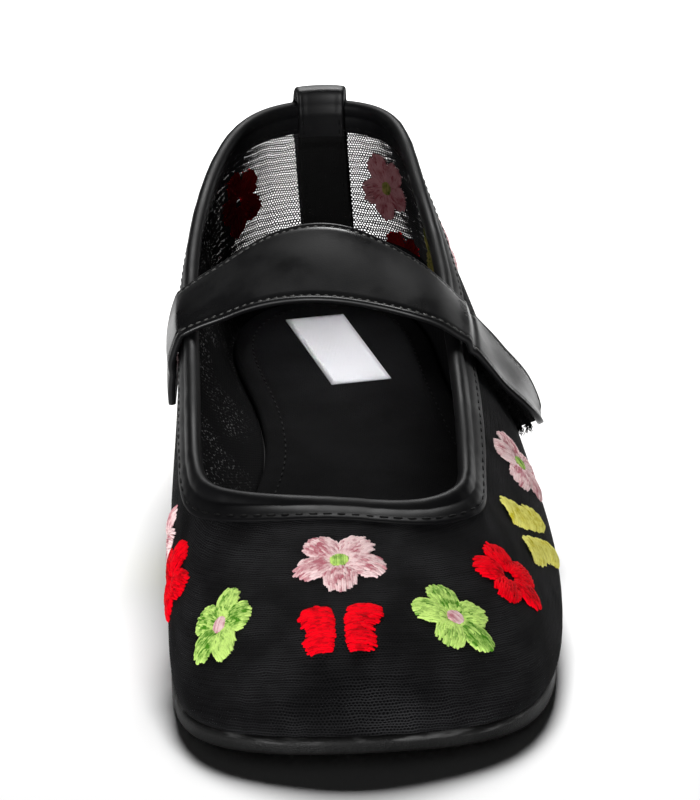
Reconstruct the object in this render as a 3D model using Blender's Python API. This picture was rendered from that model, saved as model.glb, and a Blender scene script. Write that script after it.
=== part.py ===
"""Black net Mary Jane flat for the left foot, one shoe, built piece by piece.

The last is a ring of sections. Each section is a cubic curve that climbs the wall from the feather edge,
where upper meets sole, to the topline. The ring starts at the centre back and runs along the outer side
to the toe and back along the inner side. Every other piece is worked out from this wall.

Frame: metres, +Z up, toe towards -Y, outer side towards +X, floor at Z = 0, origin under the middle.
Sizes below are in millimetres.
"""

import math
from typing import NamedTuple

import bpy
import numpy as np

MM = 0.001
GAP = 0.3                # clearance between pieces that touch

# Last
LAST_LENGTH = 246.0      # centre back to toe tip along the feather edge
BALL_WIDTH = 90.0        # widest place across the upper
BACK_HEIGHT = 68.5       # floor to topline at the centre back
HEEL_Y = 122.0           # centre back of the feather edge
AXIS_X = -1.0            # heel to toe line of the last

# Sole
SOLE_THICKNESS = 4.0
HEEL_LIFT = 8.0          # heel seat above the forefoot
TOE_SPRING = 3.0         # toe tip above the floor
SOLE_LEDGE = 1.2         # sole edge outside the feather edge
SOLE_ROUND = 1.0         # rounding of the sole's edges
BREAST_TURN = 3.05       # ring place of the heel's front face
BREAST_SLOPE = 0.03

# Upper and what lines it
WALL = 1.2
INSOLE_INSET = 1.9
INSOLE_THICKNESS = 2.5
LABEL_SIZE = (15.5, 46.0, 0.5)
LABEL_ACROSS = 0.0       # its middle from the heel to toe line, and from the centre back
LABEL_BACK = 38.5
LABEL_ANGLE = 13.0

# Topline binding
BINDING_DEPTH = 7.0      # band below the topline, inside and outside
BINDING_LEATHER = 1.0
BEAD = 0.4               # how far the rolled edge swells past the bands
SHOULDER_RISE = 0.65     # shoulders of the rolled edge, as shares of its height and its thickness
SHOULDER_OUT = 0.85

# Instep strap
STRAP_THICKNESS = 1.8
STRAP_CLEAR = 2.3        # strap off the wall where it passes over the binding
STRAP_OFF_PADS = 2.1     # strap off the wall where it lies on the tape
STRAP_TIP_OFF = 2.8      # tip stands away from the wall
INNER_LEG = 20.0         # sewn end below the topline
OUTER_LEG = 35.0         # free end below the topline
STEP_FROM = 0.5          # stretch below the binding where the sewn end comes down to the net
STEP_TO = 3.5
TIP_RADIUS = 10.0
TIP_LIFT_FROM = 25.0     # below the topline, where the tip starts to stand away
PAD_THICKNESS = 0.6
PAD_FROM = 13.0          # tape below the topline, from and to
PAD_TO = 31.0
PAD_LEAD = 2.0           # the strap is clear of the tape this far above it
PAD_MARGIN = 2.5         # tape inside the strap's edges

# Heel strip
STRIP_WIDTH = 13.5
STRIP_LEATHER = 1.1
STRIP_CLEAR = 0.5        # strip off the net
STRIP_STEP_FROM = 1.0    # stretch below the binding where the strip comes down to the net
STRIP_STEP_TO = 4.5
TAB_RISE = 5.5           # pull tab above the topline
STRIP_INNER_END = 50.0
STRIP_OUTER_END = 52.0

# Mesh density
STEPS_PER_SECTION = 4
CLIMB_STEPS = 12
SOLE_STRIPS = 6
STRAP_STRIPS = 6
BRIDGE_STEPS = 18
LEG_STEPS = 6
TIP_ANGLES = (30.0, 55.0, 75.0, 90.0)
PAD_STRIPS = 4
STRIP_STRIPS = 4
STRIP_LEG_STEPS = 5

# Search along the wall
PATH_SAMPLES = 61
BISECTIONS = 24
HEEL_MARGIN = 0.5        # ring places left out at the heel and at the toe when one side is searched
TOE_MARGIN = 1.5


class Section(NamedTuple):
    """One section of the last.

    Across and out are in % of the ball width, along in % of the last length from the centre back,
    up and down in % of the back height. Out and up bend the curve at the feather edge and the topline.
    """

    name: str
    foot_across: float
    foot_along: float
    top_across: float
    top_along: float
    top_up: float
    foot_out: float
    foot_up: float
    top_out: float
    top_down: float


SECTIONS = (
    Section("heel_back", 0.0, 0.0, -3.5, 0.5, 100.0, 4.0, 26.0, 3.0, 26.0),
    Section("heel_corner_outer", 19.5, 3.0, 12.5, 2.0, 99.0, 4.0, 26.0, 3.5, 26.0),
    Section("heel_side_outer", 28.5, 12.0, 20.0, 8.0, 96.0, 4.0, 24.0, 4.5, 24.0),
    Section("seat_outer", 31.5, 24.0, 23.2, 17.0, 88.5, 6.5, 23.0, 6.5, 18.0),
    Section("waist_outer", 37.0, 37.0, 26.5, 28.0, 79.0, 9.5, 22.0, 9.5, 17.0),
    Section("instep_outer", 43.0, 52.5, 27.8, 43.5, 71.5, 11.5, 22.0, 9.5, 16.0),
    Section("ball_outer", 47.0, 69.0, 28.0, 59.5, 64.0, 13.5, 15.0, 11.0, 18.0),
    Section("toe_side_outer", 47.0, 83.0, 27.5, 69.5, 57.5, 9.0, 10.0, 10.0, 20.0),
    Section("toe_corner_outer", 38.5, 93.8, 24.5, 74.0, 54.0, 5.5, 8.0, 16.0, 18.0),
    Section("toe_front_outer", 20.5, 98.7, 12.5, 76.0, 52.5, 0.0, 17.5, 22.0, 11.0),
    Section("toe_tip", -3.0, 100.0, -4.0, 75.5, 53.0, 0.0, 26.0, 27.0, 9.0),
    Section("toe_front_inner", -26.0, 99.5, -19.5, 75.0, 53.5, 0.0, 16.0, 21.0, 12.5),
    Section("toe_corner_inner", -42.0, 95.5, -36.0, 73.5, 54.0, 4.5, 7.0, 10.0, 18.5),
    Section("toe_side_inner", -47.5, 86.0, -42.0, 69.5, 57.0, 3.5, 10.0, 7.0, 18.0),
    Section("ball_inner", -45.0, 70.5, -42.5, 59.5, 63.5, 5.0, 20.0, 6.5, 17.0),
    Section("instep_inner", -34.5, 56.5, -42.5, 44.5, 70.5, 13.0, 15.0, 6.5, 20.0),
    Section("waist_inner", -24.5, 41.0, -42.0, 31.0, 77.5, 17.0, 13.5, 6.0, 23.0),
    Section("seat_inner", -28.5, 25.0, -38.0, 18.5, 87.0, 9.0, 18.0, 4.5, 26.0),
    Section("heel_side_inner", -31.5, 12.0, -30.5, 8.5, 95.5, 4.5, 24.0, 4.0, 26.0),
    Section("heel_corner_inner", -21.0, 3.0, -19.5, 2.5, 99.0, 4.0, 26.0, 3.5, 26.0),
)
COUNT = len(SECTIONS)
PERCENT = np.array([BALL_WIDTH, LAST_LENGTH, BALL_WIDTH, LAST_LENGTH, BACK_HEIGHT,
                    BALL_WIDTH, BACK_HEIGHT, BALL_WIDTH, BACK_HEIGHT]) / 100.0
RING = np.array([section[1:] for section in SECTIONS]) * PERCENT


class Lift(NamedTuple):
    """Height of the seat along the last: shares of the heel lift and of the toe spring."""

    along: float
    heel: float
    toe: float


LIFTS = (
    Lift(0.0, 1.0, 0.0),
    Lift(26.0, 1.0, 0.0),
    Lift(38.0, 0.7, 0.0),
    Lift(52.0, 0.27, 0.0),
    Lift(63.0, 0.0, 0.0),
    Lift(83.0, 0.0, 0.0),
    Lift(92.0, 0.0, 0.37),
    Lift(100.0, 0.0, 1.0),
)


class StrapEdge(NamedTuple):
    """One edge of the strap: where it crosses the topline, from the centre back, and how far it arches."""

    inner_back: float
    outer_back: float
    inner_reach: float
    outer_reach: float
    rise: float


STRAP_FRONT = StrapEdge(114.0, 121.0, 24.0, 18.0, 12.5)
STRAP_REAR = StrapEdge(92.0, 100.5, 32.0, 24.0, 25.0)


class Finish(NamedTuple):
    """Colour, roughness and metallic value of a material."""

    name: str
    colour: tuple
    roughness: float
    metallic: float


NET = Finish("black_net", (0.012, 0.012, 0.014), 0.8, 0.0)
LEATHER = Finish("black_leather", (0.011, 0.011, 0.012), 0.42, 0.0)
RUBBER = Finish("black_rubber", (0.013, 0.013, 0.013), 0.6, 0.0)
LINING = Finish("black_lining", (0.009, 0.009, 0.010), 0.75, 0.0)
TAPE = Finish("black_tape", (0.008, 0.008, 0.008), 0.9, 0.0)
LABEL = Finish("white_label", (0.80, 0.80, 0.84), 0.6, 0.0)


# The last's wall

def ring_second_differences(values):
    """Second derivatives of the smooth closed curve through the ring's rows."""
    count = len(values)
    matrix = 4.0 * np.eye(count) + np.roll(np.eye(count), 1, axis=1) + np.roll(np.eye(count), -1, axis=1)
    bends = np.roll(values, -1, axis=0) - 2.0 * values + np.roll(values, 1, axis=0)
    return np.linalg.solve(matrix, 6.0 * bends)


RING_BENDS = ring_second_differences(RING)


def ring_row(turn):
    """Section values in millimetres at any place round the ring, one step per section."""
    first = math.floor(turn)
    share = turn - first
    rest = 1.0 - share
    here = first % COUNT
    after = (first + 1) % COUNT
    line = rest * RING[here] + share * RING[after]
    bend = (rest ** 3 - rest) * RING_BENDS[here] + (share ** 3 - share) * RING_BENDS[after]
    return Section("", *(line + bend / 6.0))


def lift_knot_slopes(along, height):
    """Slopes at the knots of a profile that never overshoots them."""
    steps = np.diff(height) / np.diff(along)
    slopes = np.zeros(len(along))
    for k in range(1, len(along) - 1):
        before, after = steps[k - 1], steps[k]
        if before * after > 0.0:
            slopes[k] = 2.0 * before * after / (before + after)
    slopes[-1] = steps[-1]
    return slopes


LIFT_ALONG = np.array([row.along for row in LIFTS]) * LAST_LENGTH / 100.0
LIFT_HEIGHT = np.array([row.heel * HEEL_LIFT + row.toe * TOE_SPRING for row in LIFTS])
LIFT_SLOPES = lift_knot_slopes(LIFT_ALONG, LIFT_HEIGHT)


def seat_lift(turn):
    """Height of the sole's underside above the floor, the same at both ends of a line across the sole."""
    along = 0.5 * (ring_row(turn).foot_along + ring_row(COUNT - turn).foot_along)
    along = min(max(along, LIFT_ALONG[0]), LIFT_ALONG[-1])
    k = min(max(int(np.searchsorted(LIFT_ALONG, along)) - 1, 0), len(LIFT_ALONG) - 2)
    span = LIFT_ALONG[k + 1] - LIFT_ALONG[k]
    s = (along - LIFT_ALONG[k]) / span
    start = (1.0 + 2.0 * s) * (1.0 - s) ** 2 * LIFT_HEIGHT[k] + s * (1.0 - s) ** 2 * span * LIFT_SLOPES[k]
    end = s * s * (3.0 - 2.0 * s) * LIFT_HEIGHT[k + 1] + s * s * (s - 1.0) * span * LIFT_SLOPES[k + 1]
    return start + end


def foot_point(turn):
    """Feather edge in plan."""
    row = ring_row(turn)
    return np.array([AXIS_X + row.foot_across, HEEL_Y - row.foot_along])


def outward(turn):
    """Direction that points out of the last in plan."""
    step = 0.01
    run = foot_point(turn + step) - foot_point(turn - step)
    return np.array([-run[1], run[0], 0.0]) / np.hypot(*run)


def wall_controls(turn):
    """Control points of the section's curve, from the feather edge to the topline."""
    row = ring_row(turn)
    out = outward(turn)
    up = np.array([0.0, 0.0, 1.0])
    foot = np.array([*foot_point(turn), SOLE_THICKNESS + seat_lift(turn) + GAP])
    top = np.array([AXIS_X + row.top_across, HEEL_Y - row.top_along, row.top_up])
    low = foot + row.foot_out * out + row.foot_up * up
    high = top + row.top_out * out - row.top_down * up
    return foot, low, high, top


def curve_point(controls, share):
    """Point, or points for a column of shares, on the cubic curve of four control points."""
    first, second, third, fourth = controls
    rest = 1.0 - share
    return (rest ** 3 * first + 3.0 * rest ** 2 * share * second
            + 3.0 * rest * share ** 2 * third + share ** 3 * fourth)


def wall_point(turn, climb):
    """Outer face of the upper, from the feather edge (climb 0) to the topline (climb 1)."""
    return curve_point(wall_controls(turn), climb)


def wall_up(turn, climb):
    """Direction up the wall."""
    step = 0.001
    run = wall_point(turn, climb + step) - wall_point(turn, climb - step)
    return run / np.linalg.norm(run)


def wall_normal(turn, climb):
    """Direction off the outer face of the wall."""
    step = 0.005
    run = wall_point(turn + step, climb) - wall_point(turn - step, climb)
    normal = np.cross(wall_up(turn, climb), run)
    return normal / np.linalg.norm(normal)


def skin_point(turn, below, off):
    """Point a distance below the topline along the wall, and a distance off the wall's outer face."""
    if below <= 0.0:
        rim = wall_point(turn, 1.0) - below * wall_up(turn, 1.0)
        return rim + off * wall_normal(turn, 1.0)
    climbs = np.linspace(1.0, 0.0, PATH_SAMPLES)
    path = curve_point(wall_controls(turn), climbs[:, None])
    lengths = np.concatenate([[0.0], np.cumsum(np.linalg.norm(np.diff(path, axis=0), axis=1))])
    climb = float(np.interp(below, lengths, climbs))
    return wall_point(turn, climb) + off * wall_normal(turn, climb)


def turn_on_side(inner, back, below):
    """Ring place on one side of the shoe, a distance from the centre back and one below the topline."""
    heel_end, toe_end = HEEL_MARGIN, COUNT / 2 - TOE_MARGIN
    if inner:
        heel_end, toe_end = COUNT - heel_end, COUNT - toe_end
    for _ in range(BISECTIONS):
        middle = 0.5 * (heel_end + toe_end)
        if HEEL_Y - skin_point(middle, below, 0.0)[1] < back:
            heel_end = middle
        else:
            toe_end = middle
    return 0.5 * (heel_end + toe_end)


def side_point(inner, back, below, off):
    """Point off the wall at a place given from the centre back."""
    return skin_point(turn_on_side(inner, back, below), below, off)


# Meshes

def grid_faces(rows, columns, close_rows=False):
    """Quads of a grid whose points are stored row by row."""
    faces = []
    for i in range(rows if close_rows else rows - 1):
        after = (i + 1) % rows
        for j in range(columns - 1):
            faces.append((i * columns + j, i * columns + j + 1, after * columns + j + 1, after * columns + j))
    return faces


def ring_turns(extra=()):
    """Ring places from the centre back round to it again, mirrored about the heel to toe line."""
    half = [k / STEPS_PER_SECTION for k in range(1, COUNT * STEPS_PER_SECTION // 2)]
    half = sorted(half + list(extra))
    return [0.0] + half + [COUNT / 2] + [COUNT - turn for turn in reversed(half)]


def make_material(finish):
    """Principled material of a finish, made once."""
    material = bpy.data.materials.get(finish.name)
    if material is None:
        material = bpy.data.materials.new(finish.name)
        material.use_nodes = True
        shader = material.node_tree.nodes["Principled BSDF"]
        shader.inputs["Base Color"].default_value = (*finish.colour, 1.0)
        shader.inputs["Roughness"].default_value = finish.roughness
        shader.inputs["Metallic"].default_value = finish.metallic
    return material


def add_piece(name, points, faces, finish, parent, smooth_angle=35.0):
    """Named object from points in millimetres."""
    mesh = bpy.data.meshes.new(name)
    mesh.from_pydata([tuple(MM * np.asarray(point)) for point in points], [], faces)
    mesh.update()
    mesh.shade_smooth()
    mesh.set_sharp_from_angle(angle=math.radians(smooth_angle))
    mesh.materials.append(make_material(finish))
    piece = bpy.data.objects.new(name, mesh)
    bpy.context.collection.objects.link(piece)
    piece.parent = parent
    return piece


def thicken(piece, thickness, offset):
    """Give a sheet its thickness: offset 1 grows off the sheet's face, -1 behind it."""
    solid = piece.modifiers.new("thickness", "SOLIDIFY")
    solid.thickness = thickness * MM
    solid.offset = offset
    solid.use_even_offset = True


def slab_from_levels(levels, strips):
    """Closed slab from rings of equal count, top to bottom, its ends filled by lines across the sole."""
    count = len(levels[0])
    points = [point for level in levels for point in level]
    faces = []
    for k in range(len(levels) - 1):
        for i in range(count):
            after = (i + 1) % count
            faces.append((k * count + i, k * count + after, (k + 1) * count + after, (k + 1) * count + i))
    for level, turned in ((0, False), (len(levels) - 1, True)):
        start = level * count
        rungs = []
        for i in range(1, count // 2):
            outer, inner = levels[level][i], levels[level][count - i]
            rung = [start + i]
            for k in range(1, strips):
                points.append(outer + (inner - outer) * k / strips)
                rung.append(len(points) - 1)
            rungs.append(rung + [start + count - i])
        rungs = [[start] * (strips + 1)] + rungs + [[start + count // 2] * (strips + 1)]
        for near, far in zip(rungs, rungs[1:]):
            for k in range(strips):
                corners = list(dict.fromkeys((near[k], near[k + 1], far[k + 1], far[k])))
                faces.append(tuple(corners[::-1] if turned else corners))
    return points, faces


def tube_faces(rows, size, closed=False):
    """Faces of a closed section swept through rows of points, with flat ends unless it closes."""
    faces = []
    for i in range(rows if closed else rows - 1):
        after = (i + 1) % rows
        for j in range(size):
            beside = (j + 1) % size
            faces.append((i * size + j, i * size + beside, after * size + beside, after * size + j))
    if not closed:
        last = (rows - 1) * size
        faces.append(tuple(range(size - 1, -1, -1)))
        faces.append(tuple(range(last, last + size)))
    return faces


# Pieces

def sole_level(turns, inset, height):
    """Ring of points round the sole, inset from its edge, at a height given for each ring place."""
    ring = []
    for turn in turns:
        plan = foot_point(turn) + (SOLE_LEDGE - inset) * outward(turn)[:2]
        ring.append(np.array([*plan, height(turn)]))
    return ring


def sole_top(turn):
    """Upper face of the sole."""
    return SOLE_THICKNESS + seat_lift(turn)


def sole_bottom(turn):
    """Underside of the sole: flat on the floor at the heel, then the arch, the flat forefoot and the toe."""
    place = min(turn, COUNT - turn)
    return 0.0 if place < BREAST_TURN else seat_lift(turn)


def build_outsole(parent):
    """Thin sole with its heel moulded on, arch, toe spring and rounded edges."""
    turns = ring_turns(extra=(BREAST_TURN - BREAST_SLOPE, BREAST_TURN + BREAST_SLOPE))
    levels = [
        sole_level(turns, SOLE_ROUND, sole_top),
        sole_level(turns, 0.0, lambda turn: sole_top(turn) - SOLE_ROUND),
        sole_level(turns, 0.0, lambda turn: sole_bottom(turn) + SOLE_ROUND),
        sole_level(turns, SOLE_ROUND, sole_bottom),
    ]
    points, faces = slab_from_levels(levels, SOLE_STRIPS)
    return add_piece("outsole", points, faces, RUBBER, parent)


def build_insole(parent):
    """Thin sock on the sole, inside the wall of the upper."""
    turns = ring_turns()
    inset = SOLE_LEDGE + INSOLE_INSET
    edge = 0.5 * INSOLE_THICKNESS
    levels = [
        sole_level(turns, inset + edge, lambda turn: sole_top(turn) + GAP + INSOLE_THICKNESS),
        sole_level(turns, inset, lambda turn: sole_top(turn) + GAP + INSOLE_THICKNESS - edge),
        sole_level(turns, inset, lambda turn: sole_top(turn) + GAP),
    ]
    points, faces = slab_from_levels(levels, SOLE_STRIPS)
    return add_piece("insole", points, faces, LINING, parent)


def build_label(parent):
    """Bare label on the heel seat, turned a little."""
    half_width, half_length, thickness = LABEL_SIZE[0] / 2, LABEL_SIZE[1] / 2, LABEL_SIZE[2]
    bottom = sole_top(0.0) + GAP + INSOLE_THICKNESS + GAP
    corners = ((-half_width, -half_length), (half_width, -half_length),
               (half_width, half_length), (-half_width, half_length))
    points = [(x, y, z) for z in (0.0, thickness) for x, y in corners]
    faces = [(3, 2, 1, 0), (4, 5, 6, 7)] + [(k, (k + 1) % 4, (k + 1) % 4 + 4, k + 4) for k in range(4)]
    label = add_piece("insole_label", points, faces, LABEL, parent)
    label.location = ((AXIS_X + LABEL_ACROSS) * MM, (HEEL_Y - LABEL_BACK) * MM, bottom * MM)
    label.rotation_euler = (0.0, 0.0, math.radians(LABEL_ANGLE))
    return label


def build_upper(parent):
    """Hollow wall of the upper, open at the topline and underneath."""
    turns = ring_turns()
    climbs = [k / CLIMB_STEPS for k in range(CLIMB_STEPS + 1)]
    points = [wall_point(turn, climb) for turn in turns for climb in climbs]
    faces = grid_faces(len(turns), len(climbs), close_rows=True)
    upper = add_piece("upper", points, faces, NET, parent)
    thicken(upper, WALL, -1.0)
    return upper


def build_binding(parent):
    """Leather folded over the topline: a band outside, a rolled edge and a band inside."""
    face = GAP + BINDING_LEATHER
    back = -WALL - GAP
    middle = 0.5 * BINDING_DEPTH
    crown = GAP + BINDING_LEATHER + BEAD
    shoulder = -crown * SHOULDER_RISE
    section = [
        (BINDING_DEPTH, GAP), (BINDING_DEPTH, face - BEAD), (middle, face), (BEAD, face + BEAD),
        (shoulder, face * SHOULDER_OUT), (-crown, -0.5 * WALL), (shoulder, -WALL - face * SHOULDER_OUT),
        (BEAD, -WALL - face - BEAD), (middle, -WALL - face), (BINDING_DEPTH, -WALL - face + BEAD),
        (BINDING_DEPTH, back), (middle, back), (-GAP, back),
        (-GAP, GAP), (middle, GAP),
    ]
    turns = ring_turns()
    points = [skin_point(turn, below, off) for turn in turns for below, off in section]
    faces = tube_faces(len(turns), len(section), closed=True)
    return add_piece("topline_binding", points, faces, LEATHER, parent)


def strap_edge_blend(share):
    """Strap edge between the front (0) and the rear (1)."""
    return StrapEdge(*(f + (r - f) * share for f, r in zip(STRAP_FRONT, STRAP_REAR)))


def inner_leg_off(below):
    """Strap off the wall on the inner side: down on the net below the binding."""
    return STRAP_CLEAR if below <= BINDING_DEPTH + STEP_FROM else 2.0 * GAP


def outer_leg_off(below):
    """Strap off the wall on the outer side: over the binding, over the tape, then away at the tip."""
    return float(np.interp(below, (0.0, PAD_FROM - PAD_LEAD, TIP_LIFT_FROM, OUTER_LEG),
                           (STRAP_CLEAR, STRAP_OFF_PADS, STRAP_OFF_PADS, STRAP_TIP_OFF)))


def bridge_point(edge, share):
    """Point on the strap's arch over the instep, from the inner topline to the outer one."""
    start = side_point(True, edge.inner_back, 0.0, STRAP_CLEAR)
    end = side_point(False, edge.outer_back, 0.0, STRAP_CLEAR)
    first = start + np.array([edge.inner_reach, 0.0, edge.rise])
    second = end + np.array([-edge.outer_reach, 0.0, edge.rise])
    return curve_point((start, first, second, end), share)


def tip_narrowing(below):
    """How far each edge draws in towards the strap's middle near its rounded tip."""
    past = max(0.0, below - (OUTER_LEG - TIP_RADIUS))
    return TIP_RADIUS - math.sqrt(max(0.0, TIP_RADIUS ** 2 - past ** 2))


def strap_rows():
    """Rows of points across the strap, from its sewn end to its tip."""
    shares = [1.0 - k / STRAP_STRIPS for k in range(STRAP_STRIPS + 1)]
    edges = [strap_edge_blend(share) for share in shares]
    rows = []
    step_top, step_foot = BINDING_DEPTH + STEP_FROM, BINDING_DEPTH + STEP_TO
    for below in (INNER_LEG, 0.75 * INNER_LEG, step_foot, step_top, 0.5 * BINDING_DEPTH):
        rows.append([side_point(True, edge.inner_back, below, inner_leg_off(below)) for edge in edges])
    for k in range(BRIDGE_STEPS + 1):
        rows.append([bridge_point(edge, k / BRIDGE_STEPS) for edge in edges])
    straight = OUTER_LEG - TIP_RADIUS
    lows = [straight * k / LEG_STEPS for k in range(1, LEG_STEPS + 1)]
    lows += [straight + TIP_RADIUS * math.sin(math.radians(angle)) for angle in TIP_ANGLES]
    middle = 0.5 * (STRAP_FRONT.outer_back + STRAP_REAR.outer_back)
    half = 0.5 * (STRAP_FRONT.outer_back - STRAP_REAR.outer_back)
    for below in lows:
        scale = 1.0 - tip_narrowing(below) / half
        backs = [middle + (edge.outer_back - middle) * scale for edge in edges]
        rows.append([side_point(False, back, below, outer_leg_off(below)) for back in backs])
    return rows


def build_strap(parent):
    """Strap sewn to the inner side, arched over the instep and fastened down on the outer side."""
    rows = strap_rows()
    points = [point for row in rows for point in row]
    strap = add_piece("instep_strap", points, grid_faces(len(rows), len(rows[0])), LEATHER, parent)
    thicken(strap, STRAP_THICKNESS, 1.0)
    return strap


def build_pad(name, off, parent):
    """Piece of hook or loop tape between the strap's free end and the outer wall."""
    front = STRAP_FRONT.outer_back - PAD_MARGIN
    rear = STRAP_REAR.outer_back + PAD_MARGIN
    shares = [k / PAD_STRIPS for k in range(PAD_STRIPS + 1)]
    points = []
    for down in shares:
        below = PAD_FROM + (PAD_TO - PAD_FROM) * down
        points += [side_point(False, rear + (front - rear) * along, below, off) for along in shares]
    pad = add_piece(name, points, grid_faces(len(shares), len(shares)), TAPE, parent)
    thicken(pad, PAD_THICKNESS, 1.0)
    return pad


def strip_point(share, below, off):
    """Point on the heel strip, a share of its width from the centre back."""
    step = 0.1
    run = skin_point(COUNT + step, below, 0.0) - skin_point(COUNT - step, below, 0.0)
    turn = COUNT + share * STRIP_WIDTH * 2.0 * step / np.linalg.norm(run)
    return skin_point(turn, below, off)


def strip_leg(end):
    """Places below the topline where a leg of the heel strip lies on the net."""
    seat = BINDING_DEPTH + STRIP_STEP_TO
    return [seat + (end - seat) * k / STRIP_LEG_STEPS for k in range(STRIP_LEG_STEPS + 1)]


def build_heel_strip(parent):
    """Leather strip folded over the topline at the centre back, with a pull tab above it."""
    clear = 2 * GAP + BINDING_LEATHER + BEAD
    lap = BINDING_DEPTH + STRIP_STEP_FROM
    slot_top = -(clear + GAP)
    outer_near, inner_near = STRIP_CLEAR, -WALL - STRIP_CLEAR
    outer_gap = [(0.0, clear), (lap, clear)]
    outer_gap += [(below, outer_near) for below in strip_leg(STRIP_OUTER_END)]
    inner_gap = [(0.0, -WALL - clear), (lap, -WALL - clear)]
    inner_gap += [(below, inner_near) for below in strip_leg(STRIP_INNER_END)]
    outer_face = [(below, off + STRIP_LEATHER) for below, off in outer_gap]
    inner_face = [(below, off - STRIP_LEATHER) for below, off in inner_gap]
    middle = -0.5 * WALL
    tab = [(-TAB_RISE, middle - STRIP_LEATHER), (-TAB_RISE, middle + STRIP_LEATHER)]
    section = outer_gap[::-1] + [(slot_top, clear), (slot_top, -WALL - clear)] + inner_gap
    section += inner_face[::-1] + tab + outer_face
    shares = [k / STRIP_STRIPS - 0.5 for k in range(STRIP_STRIPS + 1)]
    points = [strip_point(share, below, off) for share in shares for below, off in section[::-1]]
    faces = tube_faces(len(shares), len(section))
    return add_piece("heel_strip", points, faces, LEATHER, parent)


def main():
    """Build the shoe on an empty scene."""
    for old in list(bpy.data.objects):
        bpy.data.objects.remove(old, do_unlink=True)
    shoe = bpy.data.objects.new("mary_jane_flat", None)
    bpy.context.collection.objects.link(shoe)
    build_outsole(shoe)
    build_insole(shoe)
    build_label(shoe)
    build_upper(shoe)
    build_binding(shoe)
    build_strap(shoe)
    build_pad("loop_pad", GAP, shoe)
    build_pad("hook_pad", GAP + PAD_THICKNESS + GAP, shoe)
    build_heel_strip(shoe)


main()
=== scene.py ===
"""Looks of a black net Mary Jane flat for the left foot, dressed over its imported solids.

Every piece follows the wall of one last, a closed ring of sections. A place on the wall is given by its turn,
one step per section from the centre back along the outer side to the toe and back along the inner side, by
its distance below the topline, and by its distance off the wall's outer face. Sizes are in millimetres and
angles in degrees. Only finished meshes, the camera and the lights are in metres.
"""

import logging
import math
from collections.abc import Iterable, Sequence
from dataclasses import dataclass, field, replace
from enum import Enum
from functools import cache
from typing import NamedTuple

import bpy
import numpy as np
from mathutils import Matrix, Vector
from mathutils.bvhtree import BVHTree


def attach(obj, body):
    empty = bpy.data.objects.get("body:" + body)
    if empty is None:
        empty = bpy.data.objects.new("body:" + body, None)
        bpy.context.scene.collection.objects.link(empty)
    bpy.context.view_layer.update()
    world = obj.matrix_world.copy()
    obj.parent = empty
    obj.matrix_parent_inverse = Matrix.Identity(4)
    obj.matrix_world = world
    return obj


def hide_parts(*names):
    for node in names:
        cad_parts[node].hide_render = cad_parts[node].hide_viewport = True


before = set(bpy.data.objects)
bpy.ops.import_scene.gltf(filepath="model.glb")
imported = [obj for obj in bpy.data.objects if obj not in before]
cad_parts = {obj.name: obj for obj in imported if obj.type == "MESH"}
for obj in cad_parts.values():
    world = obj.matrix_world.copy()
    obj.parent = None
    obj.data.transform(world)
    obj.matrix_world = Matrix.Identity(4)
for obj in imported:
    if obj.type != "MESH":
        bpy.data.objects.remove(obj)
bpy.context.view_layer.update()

BODY = "root"
MM = 0.001
NET_MAP = "net_rows"
TONE = "tone"
SCUFF_AND_SHEEN = "scuff_and_sheen"
LOG = logging.getLogger("shoe")


class Section(NamedTuple):
    """One section of the last.

    Across and out are in % of the ball width, along in % of the last length from the centre back, up and down
    in % of the back height. Out and up bend the curve at the feather edge and the topline.
    """

    name: str
    foot_across: float
    foot_along: float
    top_across: float
    top_along: float
    top_up: float
    foot_out: float
    foot_up: float
    top_out: float
    top_down: float


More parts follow.
